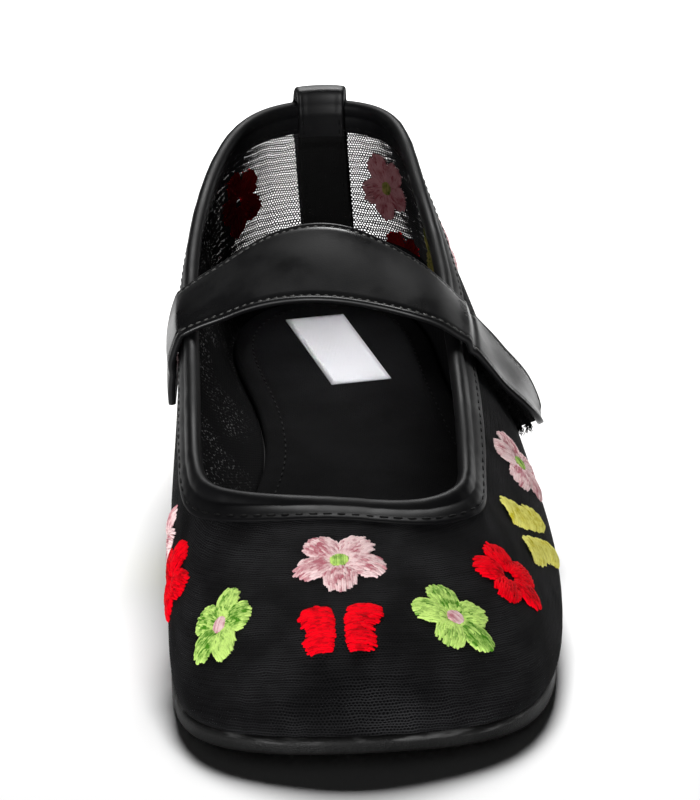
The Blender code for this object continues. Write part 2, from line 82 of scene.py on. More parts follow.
SECTIONS = (
    Section("heel_back", 0.0, 0.0, -3.5, 0.5, 100.0, 4.0, 26.0, 3.0, 26.0),
    Section("heel_corner_outer", 19.5, 3.0, 12.5, 2.0, 99.0, 4.0, 26.0, 3.5, 26.0),
    Section("heel_side_outer", 28.5, 12.0, 20.0, 8.0, 96.0, 4.0, 24.0, 4.5, 24.0),
    Section("seat_outer", 31.5, 24.0, 23.2, 17.0, 88.5, 6.5, 23.0, 6.5, 18.0),
    Section("waist_outer", 37.0, 37.0, 26.5, 28.0, 79.0, 9.5, 22.0, 9.5, 17.0),
    Section("instep_outer", 43.0, 52.5, 27.8, 43.5, 71.5, 11.5, 22.0, 9.5, 16.0),
    Section("ball_outer", 47.0, 69.0, 28.0, 59.5, 64.0, 13.5, 15.0, 11.0, 18.0),
    Section("toe_side_outer", 47.0, 83.0, 27.5, 69.5, 57.5, 9.0, 10.0, 10.0, 20.0),
    Section("toe_corner_outer", 38.5, 93.8, 24.5, 74.0, 54.0, 5.5, 8.0, 16.0, 18.0),
    Section("toe_front_outer", 20.5, 98.7, 12.5, 76.0, 52.5, 0.0, 17.5, 22.0, 11.0),
    Section("toe_tip", -3.0, 100.0, -4.0, 75.5, 53.0, 0.0, 26.0, 27.0, 9.0),
    Section("toe_front_inner", -26.0, 99.5, -19.5, 75.0, 53.5, 0.0, 16.0, 21.0, 12.5),
    Section("toe_corner_inner", -42.0, 95.5, -36.0, 73.5, 54.0, 4.5, 7.0, 10.0, 18.5),
    Section("toe_side_inner", -47.5, 86.0, -42.0, 69.5, 57.0, 3.5, 10.0, 7.0, 18.0),
    Section("ball_inner", -45.0, 70.5, -42.5, 59.5, 63.5, 5.0, 20.0, 6.5, 17.0),
    Section("instep_inner", -34.5, 56.5, -42.5, 44.5, 70.5, 13.0, 15.0, 6.5, 20.0),
    Section("waist_inner", -24.5, 41.0, -42.0, 31.0, 77.5, 17.0, 13.5, 6.0, 23.0),
    Section("seat_inner", -28.5, 25.0, -38.0, 18.5, 87.0, 9.0, 18.0, 4.5, 26.0),
    Section("heel_side_inner", -31.5, 12.0, -30.5, 8.5, 95.5, 4.5, 24.0, 4.0, 26.0),
    Section("heel_corner_inner", -21.0, 3.0, -19.5, 2.5, 99.0, 4.0, 26.0, 3.5, 26.0),
)
COUNT = len(SECTIONS)


class Lift(NamedTuple):
    """Height of the seat along the last, in %: shares of the heel lift and of the toe spring."""

    along: float
    heel: float
    toe: float


LIFTS = (
    Lift(0.0, 1.0, 0.0),
    Lift(26.0, 1.0, 0.0),
    Lift(38.0, 0.7, 0.0),
    Lift(52.0, 0.27, 0.0),
    Lift(63.0, 0.0, 0.0),
    Lift(83.0, 0.0, 0.0),
    Lift(92.0, 0.0, 0.37),
    Lift(100.0, 0.0, 1.0),
)


class Side(Enum):
    """Side of the shoe, seen from its wearer's foot."""

    OUTER = "outer"
    INNER = "inner"


def unit(vectors: np.ndarray) -> np.ndarray:
    """Vectors brought to length one."""
    return vectors / np.linalg.norm(vectors, axis=-1, keepdims=True)


def soft_step(low: float, high: float, value: np.ndarray) -> np.ndarray:
    """Smooth rise from 0 at low to 1 at high."""
    share = np.clip((np.asarray(value, float) - low) / (high - low), 0.0, 1.0)
    return share * share * (3.0 - 2.0 * share)


def cubic(controls: Sequence[np.ndarray], share: np.ndarray) -> np.ndarray:
    """Points on the cubic curve of four control points.

    Args:
        controls: Four arrays of points.
        share: Place along the curve, with one axis more at its end.

    Returns:
        The points.
    """
    first, second, third, fourth = controls
    rest = 1.0 - share
    return (rest ** 3 * first + 3.0 * rest ** 2 * share * second
            + 3.0 * rest * share ** 2 * third + share ** 3 * fourth)


@dataclass
class Last:
    """The last: its wall, and the seat that the sole follows."""

    length: float = 246.0
    ball_width: float = 90.0
    back_height: float = 68.5
    heel_y: float = 122.0
    axis_x: float = -1.0
    sole_thickness: float = 4.0
    heel_lift: float = 8.0
    toe_spring: float = 3.0
    clearance: float = 0.3
    wall: float = 1.2
    path_samples: int = 61
    bisections: int = 22
    heel_margin: float = 0.5
    toe_margin: float = 1.5
    rows: np.ndarray = field(init=False)
    bends: np.ndarray = field(init=False)
    lift_along: np.ndarray = field(init=False)
    lift_height: np.ndarray = field(init=False)
    lift_slopes: np.ndarray = field(init=False)

    def __post_init__(self) -> None:
        """Work out the ring's values in millimetres and the smooth curves through them."""
        wide, long, high = self.ball_width, self.length, self.back_height
        percent = np.array([wide, long, wide, long, high, wide, high, wide, high]) / 100.0
        self.rows = np.array([section[1:] for section in SECTIONS]) * percent
        ring = np.eye(COUNT)
        matrix = 4.0 * ring + np.roll(ring, 1, axis=1) + np.roll(ring, -1, axis=1)
        second = np.roll(self.rows, -1, axis=0) - 2.0 * self.rows + np.roll(self.rows, 1, axis=0)
        self.bends = np.linalg.solve(matrix, 6.0 * second)
        self.lift_along = np.array([lift.along for lift in LIFTS]) * self.length / 100.0
        heights = [lift.heel * self.heel_lift + lift.toe * self.toe_spring for lift in LIFTS]
        self.lift_height = np.array(heights)
        steps = np.diff(self.lift_height) / np.diff(self.lift_along)
        before, after = steps[:-1], steps[1:]
        same = before * after > 0.0
        mean = 2.0 * before * after / np.where(same, before + after, 1.0)
        self.lift_slopes = np.concatenate([[0.0], np.where(same, mean, 0.0), [steps[-1]]])

    def row(self, turn: np.ndarray) -> np.ndarray:
        """Section values in millimetres at places round the ring, in the columns of Section."""
        turn = np.asarray(turn, float)
        first = np.floor(turn).astype(int)
        share = (turn - first)[..., None]
        rest = 1.0 - share
        here, after = first % COUNT, (first + 1) % COUNT
        line = rest * self.rows[here] + share * self.rows[after]
        bend = (rest ** 3 - rest) * self.bends[here] + (share ** 3 - share) * self.bends[after]
        return line + bend / 6.0

    def seat(self, turn: np.ndarray) -> np.ndarray:
        """Height of the sole's underside above the floor, the same at both ends of a line across the sole."""
        along = 0.5 * (self.row(turn)[..., 1] + self.row(COUNT - np.asarray(turn, float))[..., 1])
        along = np.clip(along, self.lift_along[0], self.lift_along[-1])
        here = np.clip(np.searchsorted(self.lift_along, along) - 1, 0, len(LIFTS) - 2)
        after = here + 1
        span = self.lift_along[after] - self.lift_along[here]
        share = (along - self.lift_along[here]) / span
        start = (1.0 + 2.0 * share) * self.lift_height[here] + share * span * self.lift_slopes[here]
        end = (3.0 - 2.0 * share) * self.lift_height[after] + (share - 1.0) * span * self.lift_slopes[after]
        return (1.0 - share) ** 2 * start + share * share * end

    def foot(self, turn: np.ndarray) -> np.ndarray:
        """Feather edge in plan."""
        row = self.row(turn)
        return np.stack([self.axis_x + row[..., 0], self.heel_y - row[..., 1]], axis=-1)

    def outward(self, turn: np.ndarray) -> np.ndarray:
        """Direction that points out of the last in plan."""
        step = 0.01
        run = self.foot(np.asarray(turn) + step) - self.foot(np.asarray(turn) - step)
        return unit(np.stack([-run[..., 1], run[..., 0], np.zeros_like(run[..., 0])], axis=-1))

    def controls(self, turn: np.ndarray) -> tuple[np.ndarray, np.ndarray, np.ndarray, np.ndarray]:
        """Control points of the sections' curves, from the feather edge to the topline."""
        row = self.row(turn)
        out = self.outward(turn)
        up = np.array([0.0, 0.0, 1.0])
        level = self.sole_thickness + self.seat(turn) + self.clearance
        foot = np.concatenate([self.foot(turn), level[..., None]], axis=-1)
        top = np.stack([self.axis_x + row[..., 2], self.heel_y - row[..., 3], row[..., 4]], axis=-1)
        low = foot + row[..., 5:6] * out + row[..., 6:7] * up
        high = top + row[..., 7:8] * out - row[..., 8:9] * up
        return foot, low, high, top

    def at(self, turn: np.ndarray, climb: np.ndarray) -> np.ndarray:
        """Outer face of the upper, from the feather edge (climb 0) to the topline (climb 1)."""
        return cubic(self.controls(turn), np.asarray(climb, float)[..., None])

    def up(self, turn: np.ndarray, climb: np.ndarray) -> np.ndarray:
        """Direction up the wall."""
        step = 0.001
        return unit(self.at(turn, climb + step) - self.at(turn, climb - step))

    def normal(self, turn: np.ndarray, climb: np.ndarray) -> np.ndarray:
        """Direction off the outer face of the wall."""
        step = 0.005
        run = self.at(turn + step, climb) - self.at(turn - step, climb)
        return unit(np.cross(self.up(turn, climb), run))

    def climb_at(self, turn: np.ndarray, below: np.ndarray) -> np.ndarray:
        """Place on the sections' curves at a distance below the topline, 1 at the topline and above it."""
        climbs = np.linspace(1.0, 0.0, self.path_samples)
        path = cubic([control[..., None, :] for control in self.controls(turn)], climbs[:, None])
        steps = np.linalg.norm(np.diff(path, axis=-2), axis=-1)
        lengths = np.concatenate([np.zeros_like(steps[..., :1]), np.cumsum(steps, axis=-1)], axis=-1)
        after = np.clip((lengths < below[..., None]).sum(axis=-1), 1, self.path_samples - 1)
        low = np.take_along_axis(lengths, after[..., None] - 1, axis=-1)[..., 0]
        high = np.take_along_axis(lengths, after[..., None], axis=-1)[..., 0]
        share = (after - 1 + (below - low) / (high - low)) / (self.path_samples - 1)
        return np.clip(1.0 - share, 0.0, 1.0)

    def skin(self, turn: np.ndarray, below: np.ndarray, off: np.ndarray) -> np.ndarray:
        """Points below the topline along the wall, or beyond it, and off the wall's outer face.

        Args:
            turn: Place round the ring.
            below: Distance below the topline along the wall, negative beyond it.
            off: Distance off the outer face, negative inside.

        Returns:
            The points, for the three arrays spread over each other.
        """
        turn, below, off = np.broadcast_arrays(*(np.asarray(x, float) for x in (turn, below, off)))
        climb = self.climb_at(turn, below)
        beyond = np.minimum(below, 0.0)[..., None] * self.up(turn, climb)
        return self.at(turn, climb) - beyond + off[..., None] * self.normal(turn, climb)

    def turn_at(self, side: Side, back: np.ndarray, below: np.ndarray) -> np.ndarray:
        """Ring places on one side, at a distance from the centre back and one below the topline."""
        back, below = np.broadcast_arrays(np.asarray(back, float), np.asarray(below, float))
        heel_end = np.full(back.shape, self.heel_margin)
        toe_end = np.full(back.shape, COUNT / 2 - self.toe_margin)
        if side is Side.INNER:
            heel_end, toe_end = COUNT - heel_end, COUNT - toe_end
        for _ in range(self.bisections):
            middle = 0.5 * (heel_end + toe_end)
            place = self.heel_y - self.at(middle, self.climb_at(middle, below))[..., 1]
            heel_end = np.where(place < back, middle, heel_end)
            toe_end = np.where(place < back, toe_end, middle)
        return 0.5 * (heel_end + toe_end)

    def side_skin(self, side: Side, back: np.ndarray, below: np.ndarray, off: np.ndarray) -> np.ndarray:
        """Points off the wall at places given from the centre back."""
        return self.skin(self.turn_at(side, back, below), below, off)

    def sole_ring(self, turn: np.ndarray, out: float, level: np.ndarray) -> np.ndarray:
        """Points round the sole, out from the feather edge in plan, at a level above the floor."""
        plan = self.foot(turn) + out * self.outward(turn)[..., :2]
        return np.concatenate([plan, np.broadcast_to(level, plan.shape[:-1])[..., None]], axis=-1)


# Meshes

def make_piece(name: str, points: np.ndarray, faces: Iterable[Sequence[int]],
               edges: Sequence[Sequence[int]] = ()) -> bpy.types.Object:
    """Smooth-shaded object at the origin from points in millimetres.

    Args:
        name: Name of the piece.
        points: Points, on any grid.
        faces: Corners of each face.
        edges: Ends of each loose edge.

    Returns:
        The object, linked to the scene.
    """
    mesh = bpy.data.meshes.new(name)
    mesh.from_pydata((np.reshape(points, (-1, 3)) * MM).tolist(), list(edges), list(faces))
    mesh.update()
    mesh.shade_smooth()
    piece = bpy.data.objects.new(name, mesh)
    bpy.context.scene.collection.objects.link(piece)
    return piece


def grid_faces(rows: int, columns: int, close_rows: bool = False, close_columns: bool = False) -> list[tuple]:
    """Quads of a grid whose points are stored row by row.

    Args:
        rows: Number of rows.
        columns: Points in a row.
        close_rows: Join the last row to the first.
        close_columns: Join each row's last point to its first.

    Returns:
        The corners of each quad.
    """
    faces = []
    for i in range(rows if close_rows else rows - 1):
        after = (i + 1) % rows
        for j in range(columns if close_columns else columns - 1):
            beside = (j + 1) % columns
            here, there = i * columns, after * columns
            faces.append((here + j, here + beside, there + beside, there + j))
    return faces


def tube_faces(rows: int, columns: int) -> list[tuple]:
    """Faces of a closed section swept through rows of points, with both ends filled."""
    last = (rows - 1) * columns
    ends = [tuple(range(columns - 1, -1, -1)), tuple(range(last, last + columns))]
    return grid_faces(rows, columns, close_columns=True) + ends


def slab(levels: Sequence[np.ndarray], strips: int) -> tuple[np.ndarray, list[tuple]]:
    """Closed slab from rings of equal count, its ends filled by lines across the sole.

    Args:
        levels: Rings of points from the top to the bottom, mirrored about the heel to toe line.
        strips: Faces along each line across.

    Returns:
        Points and faces.
    """
    count = len(levels[0])
    points = [point for level in levels for point in level]
    faces = grid_faces(len(levels), count, close_columns=True)
    for level, turned in ((0, False), (len(levels) - 1, True)):
        start = level * count
        rungs = [[start] * (strips + 1)]
        for i in range(1, count // 2):
            outer, inner = levels[level][i], levels[level][count - i]
            first = len(points)
            points += [outer + (inner - outer) * k / strips for k in range(1, strips)]
            rungs.append([start + i, *range(first, len(points)), start + count - i])
        rungs.append([start + count // 2] * (strips + 1))
        for near, far in zip(rungs, rungs[1:]):
            for k in range(strips):
                corners = tuple(dict.fromkeys((near[k], near[k + 1], far[k + 1], far[k])))
                faces.append(corners[::-1] if turned else corners)
    return np.array(points), faces


def ring_turns(step: float) -> np.ndarray:
    """Ring places from the centre back round to just before it, mirrored about the heel to toe line."""
    return np.arange(0, round(COUNT / step)) * step


def thicken(piece: bpy.types.Object, thickness: float) -> None:
    """Give a sheet its thickness behind its face, in the mesh itself."""
    solid = piece.modifiers.new("thickness", "SOLIDIFY")
    solid.thickness = thickness * MM
    solid.offset = -1.0
    bake_modifiers(piece)


def bake_modifiers(piece: bpy.types.Object) -> None:
    """Turn a piece's modifiers into plain mesh."""
    depsgraph = bpy.context.evaluated_depsgraph_get()
    mesh = bpy.data.meshes.new_from_object(piece.evaluated_get(depsgraph))
    piece.modifiers.clear()
    old = piece.data
    piece.data = mesh
    bpy.data.meshes.remove(old)
    mesh.name = piece.name


def face_out(piece: bpy.types.Object) -> None:
    """Point a closed piece's faces outwards."""
    mesh = piece.data
    volume = sum(face.center.dot(face.normal) * face.area for face in mesh.polygons)
    if volume < 0.0:
        mesh.flip_normals()


def cushion(name: str, top: np.ndarray, bottom: np.ndarray) -> bpy.types.Object:
    """Closed piece between two grids of points of the same shape.

    Args:
        name: Name of the piece.
        top: Points of its upper face.
        bottom: Points of its lower face.

    Returns:
        The piece.
    """
    rows, columns = top.shape[:2]
    count = rows * columns
    faces = grid_faces(rows, columns)
    rim = list(range(columns)) + [columns * k + columns - 1 for k in range(1, rows)]
    rim += [columns * (rows - 1) + k for k in range(columns - 2, -1, -1)]
    rim += [columns * k for k in range(rows - 2, 0, -1)]
    lower = [tuple(count + k for k in reversed(face)) for face in faces]
    sides = [(a, a + count, b + count, b) for a, b in zip(rim, rim[1:] + rim[:1])]
    points = np.concatenate([top.reshape(-1, 3), bottom.reshape(-1, 3)])
    piece = make_piece(name, points, faces + lower + sides)
    face_out(piece)
    return piece


def settle(piece: bpy.types.Object, nodes: Sequence[str] = (),
           material: bpy.types.Material | None = None) -> None:
    """Put a finished piece on the shoe and report it.

    Args:
        piece: The finished piece.
        nodes: Solids that the piece stands for.
        material: Its finish, unless the mesh has it already.
    """
    if material is not None:
        piece.data.materials.clear()
        piece.data.materials.append(material)
    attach(piece, BODY)
    if nodes:
        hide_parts(*nodes)
    triangles = sum(len(face.vertices) - 2 for face in piece.data.polygons)
    LOG.info("%s: %d triangles", piece.name, triangles)


# Node trees

Colour = tuple[float, float, float]
Range = tuple[float, float]
Outputs = bpy.types.bpy_prop_collection
MIX_SHARE, MIX_FIRST, MIX_SECOND, MIX_RESULT = 0, 6, 7, 2
RANDOM_LOW, RANDOM_HIGH, RANDOM_VALUE = 2, 3, 1
UNEVEN = (0.85, 1.15)


def opaque(colour: Colour) -> tuple[float, float, float, float]:
    """Colour with full cover."""
    return (*colour, 1.0)


@dataclass
class Graph:
    """Short way to add nodes to a tree and join them."""

    tree: bpy.types.NodeTree

    def feed(self, node: bpy.types.Node, inputs: dict) -> None:
        """Give a node's inputs, by name or number, their values or sockets."""
        for key, value in inputs.items():
            if isinstance(value, bpy.types.NodeSocket):
                self.tree.links.new(value, node.inputs[key])
            else:
                node.inputs[key].default_value = value

    def add(self, kind: str, inputs: dict | None = None, **settings: object) -> Outputs:
        """Add a node.

        Args:
            kind: The node's type.
            inputs: Value or socket for each input, by name or number.
            **settings: Properties of the node.

        Returns:
            The node's outputs.
        """
        node = self.tree.nodes.new(kind)
        for key, value in settings.items():
            setattr(node, key, value)
        self.feed(node, inputs or {})
        return node.outputs

    def first(self, kind: str, inputs: dict | None = None, **settings: object) -> bpy.types.NodeSocket:
        """First output of a new node, which is given as to add."""
        return self.add(kind, inputs, **settings)[0]

    def place(self) -> bpy.types.NodeSocket:
        """Place on the piece, in metres."""
        return self.add("ShaderNodeTexCoord")["Object"]

    def attribute(self, name: str) -> bpy.types.NodeSocket:
        """Value of an attribute of the mesh."""
        return self.add("ShaderNodeAttribute", attribute_name=name)["Fac"]

    def math(self, operation: str, *values: object) -> bpy.types.NodeSocket:
        """Result of a math node on values or sockets."""
        return self.first("ShaderNodeMath", dict(enumerate(values)), operation=operation)

    def smooth(self, value: bpy.types.NodeSocket, low: float, high: float) -> bpy.types.NodeSocket:
        """Smooth rise of a value from 0 at low to 1 at high."""
        inputs = {"Value": value, "From Min": low, "From Max": high}
        return self.add("ShaderNodeMapRange", inputs, interpolation_type="SMOOTHSTEP")["Result"]

    def parts(self, vector: bpy.types.NodeSocket) -> list[bpy.types.NodeSocket]:
        """First two parts of a vector."""
        return list(self.add("ShaderNodeSeparateXYZ", {0: vector}))[:2]

    def scaled(self, vector: bpy.types.NodeSocket, scale: object) -> bpy.types.NodeSocket:
        """Vector times a number."""
        return self.first("ShaderNodeVectorMath", {0: vector, "Scale": scale}, operation="SCALE")

    def paired(self, operation: str, vector: bpy.types.NodeSocket, other: object) -> bpy.types.NodeSocket:
        """Two vectors joined part by part."""
        return self.first("ShaderNodeVectorMath", {0: vector, 1: other}, operation=operation)

    def noise(self, vector: bpy.types.NodeSocket, scale: float, detail: float = 3.0,
              output: str = "Fac") -> bpy.types.NodeSocket:
        """Noise at a scale, grey or in colour."""
        return self.add("ShaderNodeTexNoise", {"Vector": vector, "Scale": scale, "Detail": detail})[output]

    def mixed(self, share: object, first: object, second: object) -> bpy.types.NodeSocket:
        """Mix of two colours."""
        inputs = {MIX_SHARE: share, MIX_FIRST: first, MIX_SECOND: second}
        return self.add("ShaderNodeMix", inputs, data_type="RGBA")[MIX_RESULT]

    def bump(self, height: bpy.types.NodeSocket, depth: float) -> bpy.types.NodeSocket:
        """Normal of a relief whose depth is in millimetres."""
        return self.first("ShaderNodeBump", {"Height": height, "Distance": depth * MM, "Strength": 1.0})

    def group(self, tree: bpy.types.NodeTree, inputs: dict) -> Outputs:
        """Outputs of a shared node group."""
        return self.add("ShaderNodeGroup", inputs, node_tree=tree)

    def uneven(self, seed: bpy.types.NodeSocket) -> bpy.types.NodeSocket:
        """Random size, close to one."""
        inputs = {RANDOM_LOW: UNEVEN[0], RANDOM_HIGH: UNEVEN[1], "Seed": seed}
        return self.add("FunctionNodeRandomValue", inputs, data_type="FLOAT")[RANDOM_VALUE]

    def close(self, geometry: bpy.types.NodeSocket, material: bpy.types.NodeSocket) -> bpy.types.NodeTree:
        """End a tree in real, smooth geometry with its material.

        Args:
            geometry: What the tree makes.
            material: The tree's input for the material.

        Returns:
            The tree.
        """
        real = self.first("GeometryNodeRealizeInstances", {0: geometry})
        smooth = self.first("GeometryNodeSetShadeSmooth", {0: real})
        done = self.first("GeometryNodeSetMaterial", {0: smooth, "Material": material})
        self.add("NodeGroupOutput", {0: done})
        return self.tree


class Socket(Enum):
    """Kinds of socket on a node group."""

    VALUE = "NodeSocketFloat"
    WHOLE = "NodeSocketInt"
    VECTOR = "NodeSocketVector"
    COLOUR = "NodeSocketColor"
    GEOMETRY = "NodeSocketGeometry"
    MATERIAL = "NodeSocketMaterial"


class Tree(Enum):
    """Kinds of node tree."""

    SHADER = "ShaderNodeTree"
    GEOMETRY = "GeometryNodeTree"


def new_tree(name: str, kind: Tree, inputs: dict[str, Socket],
             outputs: dict[str, Socket]) -> tuple[Graph, Outputs]:
    """Empty node group with named sockets.

    Args:
        name: Name of the group.
        kind: Kind of tree.
        inputs: Kind of each input.
        outputs: Kind of each output.

    Returns:
        The group's graph, and its inputs as sockets inside it.
    """
    tree = bpy.data.node_groups.new(name, kind.value)
    for sockets, way in ((inputs, "INPUT"), (outputs, "OUTPUT")):
        for key, socket in sockets.items():
            tree.interface.new_socket(key, in_out=way, socket_type=socket.value)
    graph = Graph(tree)
    return graph, graph.add("NodeGroupInput")


@cache
def grain_group() -> bpy.types.NodeTree:
    """Shared effect: pebbled grain with fine creases between the pebbles, and a slow drift of tone."""
    graph, source = new_tree("grain", Tree.SHADER, {"Vector": Socket.VECTOR, "Size": Socket.VALUE},
                             {"Height": Socket.VALUE, "Tone": Socket.VALUE})
    fine_depth = 0.35
    place = graph.scaled(source["Vector"], graph.math("DIVIDE", 1.0 / MM, source["Size"]))
    drift = graph.scaled(graph.noise(place, scale=0.45, detail=2.0, output="Color"), scale=0.9)
    moved = graph.paired("ADD", place, drift)
    pebble = graph.add("ShaderNodeTexVoronoi", {"Vector": moved, "Scale": 1.0}, feature="DISTANCE_TO_EDGE")
    crown = graph.smooth(pebble["Distance"], low=0.0, high=0.32)
    fine = graph.noise(place, scale=2.6, detail=4.0)
    height = graph.math("MULTIPLY_ADD", fine, fine_depth, crown)
    slow = graph.noise(source["Vector"], scale=55.0, detail=4.0)
    graph.add("NodeGroupOutput", {"Height": height, "Tone": slow})
    return graph.tree


@cache
def wear_group() -> bpy.types.NodeTree:
    """Shared effect: soft patches where a surface is rubbed."""
    inputs = {"Vector": Socket.VECTOR, "Base": Socket.COLOUR, "Worn": Socket.COLOUR, "Amount": Socket.VALUE}
    graph, source = new_tree("rubbed", Tree.SHADER, inputs, {"Colour": Socket.COLOUR})
    speck_share = 0.35
    broad = graph.noise(source["Vector"], scale=48.0, detail=5.0)
    speck = graph.noise(source["Vector"], scale=900.0, detail=2.0)
    patch = graph.smooth(graph.math("MULTIPLY_ADD", speck, speck_share, broad), low=0.55, high=0.95)
    mask = graph.math("MULTIPLY", patch, source["Amount"])
    graph.add("NodeGroupOutput", {"Colour": graph.mixed(mask, source["Base"], source["Worn"])})
    return graph.tree


@cache
def weave_group() -> bpy.types.NodeTree:
    """Shared effect: plain weave on the first two axes of a vector in millimetres."""
    graph, source = new_tree("weave", Tree.SHADER, {"Vector": Socket.VECTOR, "Pitch": Socket.VALUE},
                             {"Height": Socket.VALUE, "Over": Socket.VALUE})
    steps = [graph.math("DIVIDE", part, source["Pitch"]) for part in graph.parts(source["Vector"])]
    over = graph.math("PINGPONG", graph.math("ADD", *(graph.math("FLOOR", step) for step in steps)), 1.0)
    waves = [graph.math("SINE", graph.math("MULTIPLY", step, math.pi)) for step in steps]
    warp, weft = (graph.math("ABSOLUTE", wave) for wave in waves)
    lifted = graph.math("MULTIPLY", warp, over)
    under = graph.math("MULTIPLY", weft, graph.math("SUBTRACT", 1.0, over))
    graph.add("NodeGroupOutput", {"Height": graph.math("ADD", lifted, under), "Over": over})
    return graph.tree


def net_group() -> bpy.types.NodeTree:
    """Net with round holes in staggered rows, on a map in millimetres."""
    inputs = {"Vector": Socket.VECTOR, "Pitch": Socket.VALUE, "Hole": Socket.VALUE}
    outputs = {"Thread": Socket.VALUE, "Height": Socket.VALUE, "Row": Socket.VALUE}
    graph, source = new_tree("net", Tree.SHADER, inputs, outputs)
    half_row = 0.25
    parts = graph.parts(source["Vector"])
    pitch = source["Pitch"]
    row_pitch = graph.math("MULTIPLY", pitch, math.sqrt(3.0))
    nearest = []
    for shift in (0.0, 0.5):
        squares = []
        for part, step in zip(parts, (pitch, row_pitch)):
            place = graph.math("ADD", graph.math("DIVIDE", part, step), shift)
            off = graph.math("SUBTRACT", graph.math("FRACT", place), 0.5)
            size = graph.math("MULTIPLY", off, step)
            squares.append(graph.math("MULTIPLY", size, size))
        nearest.append(graph.math("ADD", *squares))
    gap = graph.math("SQRT", graph.math("MINIMUM", *nearest))
    ratio = graph.math("DIVIDE", gap, source["Hole"])
    line = graph.math("PINGPONG", graph.math("DIVIDE", parts[1], row_pitch), half_row)
    graph.add("NodeGroupOutput", {"Thread": graph.smooth(ratio, low=0.9, high=1.1),
                                  "Height": graph.smooth(ratio, low=0.8, high=1.6),
                                  "Row": graph.smooth(line, low=0.13, high=half_row)})
    return graph.tree


def new_material(name: str) -> tuple[bpy.types.Material, Graph, bpy.types.Node]:
    """Material with a bare Principled shader.

    Args:
        name: Name of the material.

    Returns:
        The material, its graph and its shader.
    """
    material = bpy.data.materials.new(name)
    material.use_nodes = True
    graph = Graph(material.node_tree)
    return material, graph, material.node_tree.nodes["Principled BSDF"]


@dataclass(frozen=True)
class LeatherFinish:
    """Black leather or rubber: pebbled grain, rubbed patches, soft gloss."""

    name: str
    colour: Colour
    worn: Colour
    roughness: float
    spread: float
    grain: float
    depth: float
    specular: float
    wear: float = 0.5
    scuff_and_sheen: float = 0.0
    swell: float = 0.0
    streak_stretch: tuple[float, float, float] = (1.0, 1.0, 9.0)

    @cache
    def material(self) -> bpy.types.Material:
        """The finish as a material, made once."""
        material, graph, shader = new_material(self.name)
        place = graph.place()
        grain = graph.group(grain_group(), {"Vector": place, "Size": self.grain})
        worn = {"Vector": place, "Base": opaque(self.colour), "Worn": opaque(self.worn), "Amount": self.wear}
        colour = graph.group(wear_group(), worn)["Colour"]
        patch = graph.smooth(grain["Tone"], low=0.3, high=0.7)
        rough = graph.math("MULTIPLY_ADD", patch, self.spread, self.roughness - 0.5 * self.spread)
        swell = graph.noise(place, scale=42.0, detail=1.0)
        height = graph.math("MULTIPLY_ADD", swell, self.swell / self.depth, grain["Height"])
        # Light streaks where the scuff attribute is set: scuffs and painted highlight.
        if self.scuff_and_sheen:
            along = graph.paired("MULTIPLY", place, self.streak_stretch)
            streak = graph.smooth(graph.noise(along, scale=110.0, detail=6.0), low=0.46, high=0.72)
            rubbed = graph.math("MULTIPLY", graph.attribute(SCUFF_AND_SHEEN), streak)
            colour = graph.mixed(rubbed, colour, opaque((self.scuff_and_sheen,) * 3))
        graph.feed(shader, {"Base Color": colour, "Normal": graph.bump(height, self.depth),
                            "Roughness": rough, "Specular IOR Level": self.specular})
        return material


@dataclass(frozen=True)
class ClothFinish:
    """Woven or napped cloth on Object coordinates, with specks of painted highlight on the shoe's inner side.
    """

    name: str
    colour: Colour
    second: Colour
    roughness: float
    pitch: float
    depth: float
    specular: float
    nap: float = 0.5
    over_tint: float = 0.35
    painted_glint: float = 0.0

    @cache
    def material(self) -> bpy.types.Material:
        """The finish as a material, made once."""
        material, graph, shader = new_material(self.name)
        place = graph.place()
        weave = graph.group(weave_group(), {"Vector": graph.scaled(place, 1.0 / MM), "Pitch": self.pitch})
        fuzz = graph.noise(place, scale=2600.0)
        cloud = graph.noise(place, scale=70.0, detail=4.0)
        over = graph.math("MULTIPLY", weave["Over"], self.over_tint)
        share = graph.math("MULTIPLY_ADD", fuzz, self.nap, over)
        tint = graph.math("MULTIPLY", share, graph.smooth(cloud, low=0.2, high=0.8))
        height = graph.math("MULTIPLY_ADD", fuzz, self.nap, weave["Height"])
        colour = graph.mixed(tint, opaque(self.colour), opaque(self.second))
        # Painted highlight: light grey specks as glints, kept to part of the inner wall.
        if self.painted_glint:
            across, along = graph.parts(place)
            inner = graph.math("MULTIPLY", graph.smooth(across, low=-0.022, high=-0.034),
                               graph.smooth(along, low=-0.07, high=-0.05))
            patch = graph.math("MULTIPLY", inner, graph.smooth(cloud, low=0.4, high=0.6))
            speck = graph.smooth(graph.noise(place, scale=1500.0, detail=1.0), low=0.60, high=0.70)
            colour = graph.mixed(graph.math("MULTIPLY", speck, patch), colour, opaque((self.painted_glint,) * 3))
        graph.feed(shader, {"Base Color": colour, "Normal": graph.bump(height, self.depth),
                            "Roughness": self.roughness, "Specular IOR Level": self.specular})
        return material


